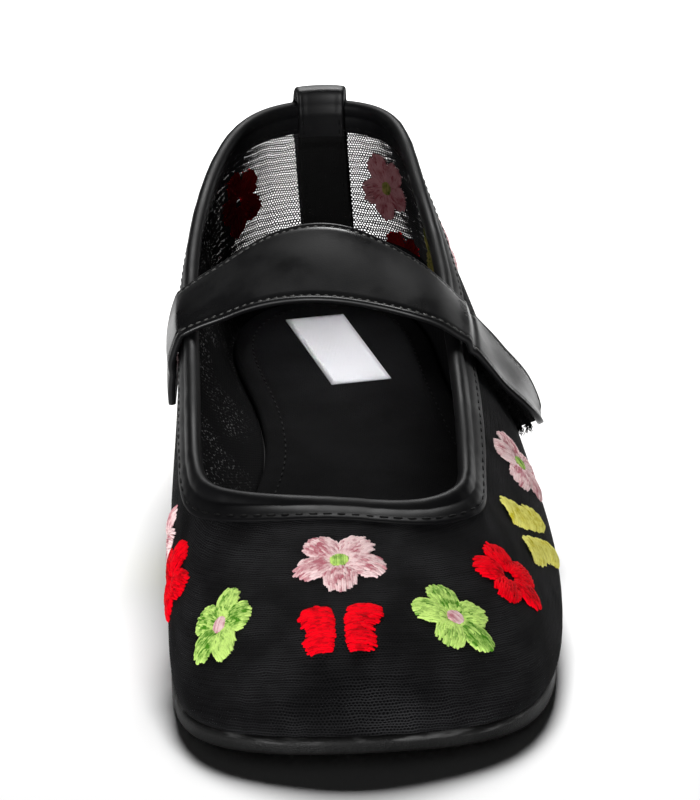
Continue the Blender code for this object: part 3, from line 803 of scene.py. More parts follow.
@dataclass(frozen=True)
class NetFinish:
    """See-through net with slightly wavy rows, on its own map."""

    name: str
    colour: Colour
    row_colour: Colour
    roughness: float
    pitch: float
    hole: float
    specular: float
    waver: float
    band: float = 1.9
    sway: float = 0.16
    depth: float = 0.05
    row_tint: float = 0.7

    def material(self) -> bpy.types.Material:
        """The finish as a material."""
        material, graph, shader = new_material(self.name)
        flat = graph.first("ShaderNodeUVMap", uv_map=NET_MAP)
        sway = graph.noise(flat, scale=0.2, detail=2.0, output="Color")
        place = graph.paired("ADD", flat, graph.scaled(sway, self.waver))
        rows = graph.parts(place)[1]
        band = graph.math("SINE", graph.math("MULTIPLY", rows, 2.0 * math.pi / self.band))
        hole = graph.math("MULTIPLY_ADD", band, self.sway * self.hole, self.hole)
        net = graph.group(net_group(), {"Vector": place, "Pitch": self.pitch, "Hole": hole})
        cloud = graph.smooth(graph.noise(flat, scale=0.07, detail=4.0), low=0.3, high=0.75)
        row = graph.math("MULTIPLY_ADD", net["Row"], self.row_tint, 1.0 - self.row_tint)
        share = graph.math("MULTIPLY", cloud, row)
        colour = graph.mixed(share, opaque(self.colour), opaque(self.row_colour))
        graph.feed(shader, {"Base Color": colour, "Alpha": net["Thread"],
                            "Normal": graph.bump(net["Height"], self.depth),
                            "Roughness": self.roughness, "Specular IOR Level": self.specular})
        return material


@dataclass(frozen=True)
class ThreadFinish:
    """Twisted sewing or embroidery thread, its tone set for each stitch."""

    name: str
    shade: Colour
    light: Colour
    roughness: float = 0.7
    specular: float = 0.04
    mottle: float = 1.6
    streak: float = 0.5
    depth: float = 0.08
    # Extra darkening of this yarn inside the net, part of the painted shade there.
    back_shade: float = 1.0

    def turned(self, tint: Colour) -> "ThreadFinish":
        """The same thread on the inner side of the net, its colours darkened by a tint as painted shade."""
        tint = self.back_shade * np.array(tint)
        shade, light = (tuple((tint * colour).tolist()) for colour in (self.shade, self.light))
        return replace(self, name=f"back_{self.name}", shade=shade, light=light)

    @cache
    def material(self) -> bpy.types.Material:
        """The finish as a material, made once."""
        material, graph, shader = new_material(self.name)
        place = graph.place()
        fibre = graph.noise(place, scale=3200.0)
        patch = graph.noise(place, scale=420.0, detail=2.0)
        share = graph.attribute(TONE)
        for grey, amount in ((patch, self.mottle), (fibre, self.streak)):
            share = graph.math("ADD", share, graph.math("MULTIPLY_ADD", grey, amount, -0.5 * amount))
        colour = graph.mixed(graph.smooth(share, low=0.0, high=1.0), opaque(self.shade), opaque(self.light))
        graph.feed(shader, {"Base Color": colour, "Normal": graph.bump(fibre, self.depth),
                            "Roughness": self.roughness, "Specular IOR Level": self.specular})
        return material


NET = NetFinish("black_net", (0.007, 0.007, 0.0075), (0.034, 0.034, 0.036), roughness=0.75, pitch=0.74,
                hole=0.23, specular=0.04, waver=1.6)
# The lining's glint is painted highlight: light specks in its colour.
LINING = ClothFinish("black_lining", (0.0035, 0.0035, 0.004), (0.007, 0.007, 0.008), roughness=0.9,
                     pitch=0.55, depth=0.12, specular=0.08, painted_glint=0.30)
SOCK = ClothFinish("insole_nap", (0.004, 0.004, 0.0043), (0.013, 0.013, 0.014), roughness=0.85, pitch=0.45,
                   depth=0.08, specular=0.04, nap=0.9)
TAPE = ClothFinish("tape_pile", (0.004, 0.004, 0.004), (0.012, 0.012, 0.012), roughness=0.95, pitch=0.7,
                   depth=0.5, specular=0.08, nap=1.2)
SATIN = ClothFinish("white_satin", (0.86, 0.86, 0.91), (0.93, 0.93, 0.96), roughness=0.5, pitch=0.35,
                    depth=0.05, specular=0.3, nap=0.3)
LEATHER = LeatherFinish("black_leather", (0.005, 0.005, 0.0055), (0.010, 0.010, 0.010), roughness=0.36,
                        spread=0.26, grain=0.6, depth=0.006, specular=0.22, swell=0.7)
EDGE_LEATHER = LeatherFinish("edge_leather", (0.004, 0.004, 0.0045), (0.009, 0.009, 0.009), roughness=0.50,
                             spread=0.14, grain=0.5, depth=0.008, specular=0.08)
SUEDE = LeatherFinish("suede_leather", (0.004, 0.004, 0.004), (0.008, 0.008, 0.008), roughness=0.8,
                      spread=0.1, grain=0.45, depth=0.08, specular=0.12)
# The rubber's scuff colour paints light streaks: scuffs and painted highlight.
RUBBER = LeatherFinish("black_rubber", (0.007, 0.007, 0.007), (0.016, 0.016, 0.016), roughness=0.5,
                       spread=0.15, grain=0.5, depth=0.04, specular=0.16, wear=0.9, scuff_and_sheen=0.09)
SEAM_THREAD = ThreadFinish("black_seam_thread", (0.004, 0.004, 0.004), (0.016, 0.016, 0.015), roughness=0.6,
                           specular=0.1)
# Light grey strap thread: its colour is painted highlight for the glints on the stitches.
STRAP_THREAD_PAINTED_GLINT = ThreadFinish("strap_thread_painted_glint", (0.05, 0.05, 0.047), (0.22, 0.21, 0.19), roughness=0.4,
                            specular=0.5)


class Yarn(Enum):
    """Embroidery threads of the shoe."""

    PINK = ThreadFinish("pink_thread", (0.54, 0.17, 0.21), (1.0, 0.76, 0.76))
    RED = ThreadFinish("red_thread", (0.42, 0.000, 0.004), (1.0, 0.000, 0.010), back_shade=0.22)
    GREEN = ThreadFinish("green_thread", (0.07, 0.26, 0.012), (0.66, 0.92, 0.24))
    YELLOW = ThreadFinish("yellow_thread", (0.70, 0.62, 0.04), (1.0, 0.96, 0.26), back_shade=0.4)


# Repeats along paths

@cache
def stitch_tree() -> bpy.types.NodeTree:
    """Stitches set at a pitch along every path of the mesh."""
    inputs = {"Paths": Socket.GEOMETRY, "Pitch": Socket.VALUE, "Length": Socket.VALUE,
              "Radius": Socket.VALUE, "Seed": Socket.WHOLE, "Material": Socket.MATERIAL}
    graph, source = new_tree("stitch_row", Tree.GEOMETRY, inputs, {"Stitches": Socket.GEOMETRY})
    curve = graph.first("GeometryNodeMeshToCurve", {0: source["Paths"]})
    spaced = {"Curve": curve, "Length": source["Pitch"]}
    even = graph.first("GeometryNodeResampleCurve", spaced, mode="LENGTH")
    tangent = graph.first("GeometryNodeInputTangent")
    turned = graph.first("FunctionNodeAlignRotationToVector", {"Vector": tangent}, axis="X")
    ball = graph.first("GeometryNodeMeshUVSphere", {"Segments": 7, "Rings": 5, "Radius": 1.0})
    half = graph.math("MULTIPLY", source["Length"], 0.5)
    shape = graph.first("ShaderNodeCombineXYZ", {0: half, 1: source["Radius"], 2: source["Radius"]})
    stitch = graph.first("GeometryNodeTransform", {"Geometry": ball, "Scale": shape})
    placed = {"Points": even, "Instance": stitch, "Rotation": turned, "Scale": graph.uneven(source["Seed"])}
    return graph.close(graph.first("GeometryNodeInstanceOnPoints", placed), source["Material"])


@cache
def thread_tree() -> bpy.types.NodeTree:
    """Round threads along every path of the mesh, a little uneven in thickness."""
    inputs = {"Paths": Socket.GEOMETRY, "Radius": Socket.VALUE, "Sides": Socket.WHOLE, "Seed": Socket.WHOLE,
              "Material": Socket.MATERIAL}
    graph, source = new_tree("laid_threads", Tree.GEOMETRY, inputs, {"Threads": Socket.GEOMETRY})
    curve = graph.first("GeometryNodeMeshToCurve", {0: source["Paths"]})
    uneven = graph.uneven(source["Seed"])
    sized = graph.first("GeometryNodeSetCurveRadius", {"Curve": curve, "Radius": uneven})
    round_shape = {"Resolution": source["Sides"], "Radius": source["Radius"]}
    ring = graph.first("GeometryNodeCurvePrimitiveCircle", round_shape)
    tube = graph.first("GeometryNodeCurveToMesh", {"Curve": sized, "Profile Curve": ring, "Fill Caps": True})
    return graph.close(tube, source["Material"])


def run_nodes(piece: bpy.types.Object, tree: bpy.types.NodeTree, values: dict[str, object]) -> None:
    """Turn a piece into what a Geometry Nodes tree makes of it.

    Args:
        piece: The piece, whose mesh is the tree's input.
        tree: The tree.
        values: Value of each named input.
    """
    nodes = piece.modifiers.new(tree.name, "NODES")
    nodes.node_group = tree
    for item in tree.interface.items_tree:
        if item.in_out == "INPUT" and item.name in values:
            nodes[item.identifier] = values[item.name]
    bake_modifiers(piece)


def path_edges(counts: Iterable[int], closed: bool = False) -> list[tuple[int, int]]:
    """Edges of open or closed paths whose points are stored one path after the other."""
    edges = []
    start = 0
    for count in counts:
        edges += [(start + k, start + k + 1) for k in range(count - 1)]
        if closed:
            edges.append((start + count - 1, start))
        start += count
    return edges


@dataclass
class StitchRow:
    """Machine stitches along paths on a piece."""

    name: str
    pitch: float
    length: float
    radius: float = 0.24
    finish: ThreadFinish = SEAM_THREAD
    seed: int = 3

    def build(self, paths: Sequence[np.ndarray], slot: str, closed: bool = False) -> None:
        """Sew the row.

        Args:
            paths: Points of each path, on the surface that is sewn.
            slot: Name of the sewn surface's material slot; not used.
            closed: Whether each path ends where it starts.
        """
        edges = path_edges((len(path) for path in paths), closed)
        piece = make_piece(self.name, np.concatenate(paths), [], edges)
        run_nodes(piece, stitch_tree(), {"Pitch": self.pitch * MM, "Length": self.length * MM,
                                         "Radius": self.radius * MM, "Seed": self.seed,
                                         "Material": self.finish.material()})
        settle(piece)


# The upper

class Crease(NamedTuple):
    """Soft trough, or ridge where its depth is negative, on the wall."""

    turn: float
    below: float
    heading: float
    reach: float
    width: float
    depth: float


CREASES = (
    Crease(9.2, 12.0, 84.0, 16.0, 4.0, 0.35),
    Crease(10.6, 14.0, 96.0, 18.0, 4.5, 0.30),
    Crease(8.5, 52.0, 70.0, 14.0, 4.0, 0.40),
    Crease(11.6, 55.0, 108.0, 14.0, 4.0, 0.40),
    Crease(10.0, 60.0, 90.0, 22.0, 4.5, -0.30),
    Crease(6.6, 34.0, 35.0, 16.0, 5.0, 0.45),
    Crease(13.6, 32.0, 145.0, 16.0, 5.0, 0.45),
    Crease(3.6, 30.0, 30.0, 18.0, 6.0, 0.50),
    Crease(16.5, 34.0, 150.0, 18.0, 6.0, 0.50),
)


@dataclass
class Upper:
    """Net wall of the shoe, and the lining behind its vamp with the low counter round its heel."""

    last: Last
    turn_step: float = 0.0625
    climb_steps: int = 36
    net_thickness: float = 0.07
    ply_gap: float = 0.15
    crease_fade_low: float = 0.15
    crease_fade_high: float = 0.18
    lining_off: float = -0.7
    lining_thickness: float = 0.4
    lining_top: float = 0.96
    counter_top: float = 0.34
    lining_outer: float = 4.3
    lining_inner: float = 16.9
    lining_blend: float = 0.9
    lining_hem: float = 1.4
    lining_lift: float = 0.1

    def sheet(self, turn: np.ndarray, climb: np.ndarray, off: float) -> np.ndarray:
        """Creased wall, off its outer face.

        Args:
            turn: Grid of ring places.
            climb: Grid of places up the wall.
            off: Distance off the outer face.

        Returns:
            Grid of points.
        """
        points = self.last.at(turn, climb)
        sink = np.zeros(turn.shape)
        for crease in CREASES:
            turn_0, climb_0 = self.place(crease.turn, crease.below)
            centre, across, up = self.axes(turn_0, climb_0)
            angle = math.radians(crease.heading)
            line = math.cos(angle) * up + math.sin(angle) * across
            away = points - centre
            along = away @ line
            apart = np.linalg.norm(away - along[..., None] * line, axis=-1)
            sink += crease.depth * np.exp(-(apart / crease.width) ** 2 - (along / crease.reach) ** 2)
        hold = soft_step(0.0, self.crease_fade_low, climb)
        hold = hold * soft_step(0.0, self.crease_fade_high, 1.0 - climb)
        return points + (off - sink * hold)[..., None] * self.last.normal(turn, climb)

    def place(self, turn: float, below: float) -> tuple[np.ndarray, np.ndarray]:
        """Ring place and place up the wall of a point below the topline, as arrays."""
        turns = np.array(float(turn))
        return turns, self.last.climb_at(turns, np.array(float(below)))

    def axes(self, turn: np.ndarray, climb: np.ndarray) -> tuple[np.ndarray, np.ndarray, np.ndarray]:
        """A point on the wall with its directions across, as the shoe's front shows it, and up."""
        up = self.last.up(turn, climb)
        across = np.cross(up, self.last.normal(turn, climb))
        return self.last.at(turn, climb), across, up

    def grid(self) -> tuple[np.ndarray, np.ndarray]:
        """Ring places and shares of the height, on a grid round the whole wall."""
        shares = np.linspace(0.0, 1.0, self.climb_steps + 1)
        return tuple(np.meshgrid(ring_turns(self.turn_step), shares, indexing="ij"))

    def build_net(self) -> BVHTree:
        """The net as two thin closed plies, with their map.

        Returns:
            Its outer face in millimetres, for what is sewn on it.
        """
        turn, climb = self.grid()
        plies = [self.sheet(turn, climb, off) for off in (0.0, -self.ply_gap)]
        faces = grid_faces(*turn.shape, close_rows=True)
        inner = [tuple(corner + turn.size for corner in face) for face in faces]
        net = make_piece("net_upper", np.array(plies), faces + inner)
        self.map_rows(net, plies[0], len(plies))
        thicken(net, self.net_thickness)
        settle(net, ["upper"], NET.material())
        return BVHTree.FromPolygons(plies[0].reshape(-1, 3).tolist(), faces)

    def map_rows(self, net: bpy.types.Object, points: np.ndarray, plies: int) -> None:
        """Map the net in millimetres, along its rows round the shoe and up the wall.

        Args:
            net: The net as sheets.
            points: Grid of points of its outer ply.
            plies: Number of its plies.
        """
        rows, columns = points.shape[:2]
        middle = points[:, columns // 2]
        steps = np.linalg.norm(np.roll(middle, -1, axis=0) - middle, axis=-1)
        along = np.concatenate([[0.0], np.cumsum(steps)])
        along *= round(along[-1] / NET.pitch) * NET.pitch / along[-1]
        rises = np.linalg.norm(np.diff(points, axis=1), axis=-1)
        up = np.concatenate([np.zeros((rows, 1)), np.cumsum(rises, axis=1)], axis=1)
        row, column = np.divmod(np.arange(rows * (columns - 1)), columns - 1)
        corner_row = row[:, None] + (0, 0, 1, 1)
        corner_column = column[:, None] + (0, 1, 1, 0)
        flat = np.stack([along[corner_row], up[corner_row % rows, corner_column]], axis=-1)
        net.data.uv_layers.new(name=NET_MAP).uv.foreach_set("vector", np.tile(flat.ravel(), plies))

    def build_lining(self) -> None:
        """Black lining: up to the binding round the vamp, down to a low counter round the heel."""
        turn, share = self.grid()
        front = soft_step(self.lining_outer - self.lining_blend, self.lining_outer, turn)
        front *= 1.0 - soft_step(self.lining_inner, self.lining_inner + self.lining_blend, turn)
        height = self.counter_top + (self.lining_top - self.counter_top) * front
        points = self.sheet(turn, share * height, self.lining_off)
        ring = turn[:, 0]
        seat = self.last.sole_thickness + self.last.seat(ring) + self.lining_lift
        hem = self.last.sole_ring(ring, -self.lining_hem, seat)
        points = np.concatenate([hem[:, None], points], axis=1)
        lining = make_piece("vamp_lining", points, grid_faces(*points.shape[:2], close_rows=True))
        thicken(lining, self.lining_thickness)
        settle(lining, (), LINING.material())


class ProfilePoint(NamedTuple):
    """Point of the binding's outer face: below the topline, and off the wall."""

    below: float
    off: float


@dataclass
class Binding:
    """Leather folded over the topline: a band outside, a rolled edge and a band inside."""

    last: Last
    turn_step: float = 0.04
    crown_rise: float = 1.62
    slot_depth: float = 3.5
    stitch_below: float = 5.5
    stitch_off: float = 1.02
    stitch_sink: float = 0.12
    waver: float = 0.07
    waves: tuple[Range, ...] = ((9.1, 0.0), (14.7, 1.3), (23.3, 0.4))
    profile: tuple[ProfilePoint, ...] = (
        ProfilePoint(7.0, 0.32), ProfilePoint(7.08, 0.5), ProfilePoint(6.95, 0.72), ProfilePoint(6.6, 0.86),
        ProfilePoint(6.1, 0.92), ProfilePoint(5.5, 0.84), ProfilePoint(4.9, 0.93), ProfilePoint(4.0, 0.95),
        ProfilePoint(3.2, 0.88), ProfilePoint(2.6, 0.74), ProfilePoint(2.25, 0.68), ProfilePoint(1.9, 0.80),
        ProfilePoint(1.4, 1.02), ProfilePoint(0.7, 1.18), ProfilePoint(0.0, 1.18), ProfilePoint(-0.7, 1.0),
        ProfilePoint(-1.2, 0.6), ProfilePoint(-1.5, 0.1),
    )

    def section(self) -> np.ndarray:
        """Closed section, as distances below the topline and off the wall."""
        wall, gap = self.last.wall, self.last.clearance
        outer = [tuple(point) for point in self.profile]
        crown = [(-self.crown_rise, -0.5 * wall)]
        inner = [(below, -wall - off) for below, off in reversed(outer)]
        deep = self.slot_depth
        slot = [(deep, -wall - gap), (-gap, -wall - gap), (-gap, gap), (deep, gap)]
        return np.array(outer + crown + inner + slot)

    def build(self) -> None:
        """The binding and its stitches."""
        wall = self.last.wall
        turns = ring_turns(self.turn_step)
        section = self.section()
        turn = turns[:, None]
        waves = sum(np.sin(turn * pace + start) for pace, start in self.waves)
        from_middle = section[:, 1] + 0.5 * wall
        free = np.abs(from_middle) > 0.5 * wall + 2.0 * self.last.clearance
        swell = self.waver * waves * np.where(free, np.sign(from_middle), 0.0)
        points = self.last.skin(turn, section[:, 0], section[:, 1] + swell / len(self.waves))
        faces = grid_faces(len(turns), len(section), close_rows=True, close_columns=True)
        binding = make_piece("leather_binding", points, faces)
        settle(binding, ["topline_binding"], EDGE_LEATHER.material())
        offs = (self.stitch_off - self.stitch_sink, -wall - self.stitch_off + self.stitch_sink)
        rows = [self.last.skin(turns, self.stitch_below, off) for off in offs]
        StitchRow("binding_stitches", pitch=3.2, length=2.1).build(rows, "leather", closed=True)


class StrapEdge(NamedTuple):
    """One edge of the strap: where it crosses the topline, from the centre back, and how far it arches."""

    inner_back: float
    outer_back: float
    inner_reach: float
    outer_reach: float
    rise: float


class Fold(NamedTuple):
    """Soft trough across the strap, or ridge where its depth is negative, past the outer topline."""

    past: float
    width: float
    depth: float


FOLDS = (
    Fold(2.8, 1.1, 0.55),
    Fold(0.6, 0.9, -0.30),
    Fold(-9.0, 5.0, -0.35),
    Fold(-24.0, 9.0, 0.60),
    Fold(-47.0, 11.0, -0.50),
    Fold(-62.0, 5.0, 0.35),
    Fold(16.0, 6.0, 0.30),
)


@dataclass
class Strap:
    """Leather strap sewn to the inner side, arched over the instep and fastened on the outer side by tape."""

    last: Last
    front: StrapEdge = StrapEdge(114.0, 121.0, 24.0, 18.0, 12.5)
    rear: StrapEdge = StrapEdge(92.0, 100.5, 32.0, 24.0, 25.0)
    thickness: float = 1.8
    clear: float = 2.3
    inner_clear: float = 1.5
    off_pads: float = 2.1
    tip_off: float = 5.4
    leg_start: float = 0.6
    inner_leg: float = 20.0
    outer_leg: float = 35.0
    inner_off: float = 0.6
    binding_depth: float = 7.0
    sink_from_to: Range = (-0.5, 4.0)
    tip_radius: float = 10.0
    tip_turn: float = 88.0
    tip_ease: float = 3.0
    flare: float = 1.3
    flare_from_to: Range = (3.0, 16.0)
    edge_round: float = 0.9
    seam_in: float = 1.5
    seam_depth: float = 0.32
    seam_width: float = 0.45
    seam_room: float = 2.4
    crown: float = 0.45
    dish: float = 0.5
    dish_from_to: Range = (2.0, 14.0)
    across_steps: int = 44
    leg_rows: int = 26
    bridge_rows: int = 71
    free_rows: int = 46
    tip_rows: int = 16
    pad_rows: int = 25
    pad_from: float = 13.0
    pad_to: float = 31.0
    pad_lead: float = 2.0
    pad_margin: float = 2.5
    tape_gap: float = 0.05
    fibres: int = 900
    fibre_sides: int = 3
    fibre_radius: float = 0.1
    fibre_length: float = 3.2
    fibre_shares: Range = (0.3, 1.0)
    fibre_levels: Range = (-0.6, 0.2)
    fibre_root: float = 0.4
    fibre_scatter: float = 0.5
    fibre_droop: float = 0.2
    fibre_bend: float = 0.6
    fibre_tip: float = 0.5
    fibre_curl: float = 0.35
    seed: int = 7

    def edges(self, share: np.ndarray) -> StrapEdge:
        """Values across the strap, from the rear edge (0) to the front edge (1)."""
        return StrapEdge(*(r + (f - r) * share for r, f in zip(self.rear, self.front)))

    def rows(self, share: np.ndarray) -> np.ndarray:
        """Underside of the strap.

        Args:
            share: Places across, from the rear edge to the front edge.

        Returns:
            Grid of points, from the sewn end to the tip.
        """
        edge = self.edges(share)
        below = np.linspace(self.inner_leg, self.leg_start, self.leg_rows)[:, None]
        sunk = soft_step(*self.sink_from_to, below - self.binding_depth)
        off = self.inner_clear + (self.inner_off - self.inner_clear) * sunk
        inner = self.last.side_skin(Side.INNER, edge.inner_back, below, off)
        start = self.last.side_skin(Side.INNER, edge.inner_back, np.zeros(1), self.inner_clear)
        end = self.last.side_skin(Side.OUTER, edge.outer_back, np.zeros(1), self.clear)
        none = np.zeros_like(share)
        first = start + np.stack([edge.inner_reach, none, edge.rise], axis=-1)
        second = end + np.stack([-edge.outer_reach, none, edge.rise], axis=-1)
        shares = np.linspace(0.0, 1.0, self.bridge_rows)
        bridge = cubic((start, first, second, end), shares[:, None, None])
        straight = self.outer_leg - self.tip_radius
        angle = np.radians(np.linspace(0.0, self.tip_turn, self.tip_rows))[1:]
        tip = straight + self.tip_radius * np.sin(angle)
        lows = np.concatenate([np.linspace(self.leg_start, straight, self.free_rows), tip])[:, None]
        past = np.clip(lows - straight, 0.0, None)
        narrow = self.tip_radius - np.sqrt(self.tip_radius ** 2 - past ** 2)
        middle = 0.5 * (self.front.outer_back + self.rear.outer_back)
        half = 0.5 * (self.front.outer_back - self.rear.outer_back)
        back = middle + (edge.outer_back - middle) * (1.0 - narrow / half)
        outer = self.last.side_skin(Side.OUTER, back, lows, self.outer_off(lows, share))
        return np.concatenate([inner, bridge, outer])

    def outer_off(self, below: np.ndarray, share: np.ndarray) -> np.ndarray:
        """Gap under the free end: over the binding and the tape, with the rear edge standing out."""
        on_pads = soft_step(0.0, self.pad_from - self.pad_lead, below)
        at_tip = soft_step(self.pad_from, self.outer_leg + self.tip_ease, below)
        off = self.clear + (self.off_pads - self.clear) * on_pads + (self.tip_off - self.off_pads) * at_tip
        return off + self.flare * (1.0 - share) ** 2 * soft_step(*self.flare_from_to, below)

    def build(self) -> None:
        """The strap with rounded edges, its seams and the tape under its free end."""
        share = 0.5 - 0.5 * np.cos(np.linspace(0.0, math.pi, self.across_steps + 1))
        under = self.rows(share)
        run, side = np.gradient(under, axis=0), np.gradient(under, axis=1)
        normal = unit(np.cross(side, run))
        normal = np.where(normal[..., 2:].mean() < 0.0, -normal, normal)
        steps = np.linalg.norm(np.diff(under, axis=1), axis=-1)
        place = np.concatenate([np.zeros((len(under), 1)), np.cumsum(steps, axis=1)], axis=1)
        margin = np.minimum(place, place[:, -1:] - place)
        fall = 1.0 - np.clip(margin / self.edge_round, 0.0, 1.0)
        half = 0.5 * self.thickness * np.sqrt(1.0 - fall ** 2)
        seam = self.seam_depth * np.exp(-((margin - self.seam_in) / self.seam_width) ** 2)
        paces = np.linalg.norm(np.diff(under[:, self.across_steps // 2], axis=0), axis=-1)
        past = np.concatenate([[0.0], np.cumsum(paces)])
        past = (past - past[self.leg_rows + self.bridge_rows - 1])[:, None]
        sink = sum(fold.depth * np.exp(-((past - fold.past) / fold.width) ** 2) for fold in FOLDS)
        middle = under + (0.5 * self.thickness - sink)[..., None] * normal
        crown = self.crown - (self.crown + self.dish) * soft_step(*self.dish_from_to, past)
        crown = crown * np.sin(math.pi * place / place[:, -1:])
        top = middle + (half - seam + crown)[..., None] * normal
        bottom = middle - half[..., None] * normal
        section = np.concatenate([top, bottom[:, -2:0:-1]], axis=1)
        strap = make_piece("leather_strap", section, tube_faces(len(section), section.shape[1]))
        face_out(strap)
        settle(strap, ["instep_strap"], LEATHER.material())
        # Stitches in the light grey thread, whose colour is painted highlight.
        seam_row = StitchRow("strap_stitches", pitch=2.0, length=1.35, radius=0.25, finish=STRAP_THREAD_PAINTED_GLINT)
        seam_row.build([self.seam_path(top, place)], "leather")
        self.build_pad("loop_tape", "loop_pad", low=0.0, high=0.5)
        self.build_pad("hook_tape", "hook_pad", low=0.5, high=1.0)

    def seam_path(self, top: np.ndarray, place: np.ndarray) -> np.ndarray:
        """Path of the seam: along the rear edge to the tip and back along the front edge.

        Args:
            top: Upper face of the strap.
            place: Distance of each point from the rear edge.

        Returns:
            The path's points.
        """
        wide = place[:, -1] > self.seam_room * self.seam_in
        rear, front = [], []
        for row, across in zip(top[wide], place[wide]):
            for path, target in ((rear, self.seam_in), (front, across[-1] - self.seam_in)):
                path.append([np.interp(target, across, row[:, axis]) for axis in range(3)])
        return np.array(rear + front[::-1])

    def build_pad(self, name: str, node: str, low: float, high: float) -> None:
        """Piece of hook or loop tape between the free end and the outer wall.

        Args:
            name: Name of the piece.
            node: Solid that it stands for.
            low: Its lower face, as a share of the room under the strap.
            high: Its upper face, as a share of that room.
        """
        shares = np.linspace(0.0, 1.0, self.pad_rows)
        wide = self.front.outer_back - self.rear.outer_back
        inset = self.pad_margin / wide
        across = inset + (1.0 - 2.0 * inset) * shares
        back = self.rear.outer_back + wide * across
        below = (self.pad_from + (self.pad_to - self.pad_from) * shares)[:, None]
        room = self.outer_off(below, across) - 2.0 * self.tape_gap
        upper, lower = (self.last.side_skin(Side.OUTER, back, below, self.tape_gap + share * room)
                        for share in (high, low))
        settle(cushion(name, upper, lower), [node], TAPE.material())
        self.build_fuzz(f"{name}_fuzz", upper, lower)

    def build_fuzz(self, name: str, upper: np.ndarray, lower: np.ndarray) -> None:
        """Stray fibres round the edge of a piece of tape.

        Args:
            name: Name of the piece.
            upper: Upper face of the tape.
            lower: Lower face of the tape.
        """
        rng = np.random.default_rng(self.seed)
        middle = 0.5 * (upper + lower)
        rim = np.concatenate([middle[0], middle[1:, -1], middle[-1, -2::-1], middle[-2:0:-1, 0]])
        roots = rim[rng.integers(0, len(rim), self.fibres)]
        outward = unit(roots - middle.mean(axis=(0, 1)))
        lift = unit((upper - lower).mean(axis=(0, 1)))
        aims = unit(outward + self.fibre_scatter * rng.normal(size=roots.shape))
        aims = aims - (np.clip(aims @ lift, 0.0, None)[:, None] + self.fibre_droop) * lift
        lengths = self.fibre_length * rng.uniform(*self.fibre_shares, (self.fibres, 1))
        levels = rng.uniform(*self.fibre_levels, (self.fibres, 1))
        roots = roots - self.fibre_root * outward + levels * lift
        bends = roots + self.fibre_bend * lengths * aims
        tips = bends + self.fibre_tip * lengths * (aims + self.fibre_curl * rng.normal(size=roots.shape))
        paths = np.stack([roots, bends, tips], axis=1)
        fuzz = make_piece(name, paths, [], path_edges([paths.shape[1]] * self.fibres))
        fuzz.data.attributes.new(TONE, "FLOAT", "POINT")
        run_nodes(fuzz, thread_tree(), {"Radius": self.fibre_radius * MM, "Sides": self.fibre_sides,
                                        "Seed": self.seed, "Material": SEAM_THREAD.material()})
        settle(fuzz)


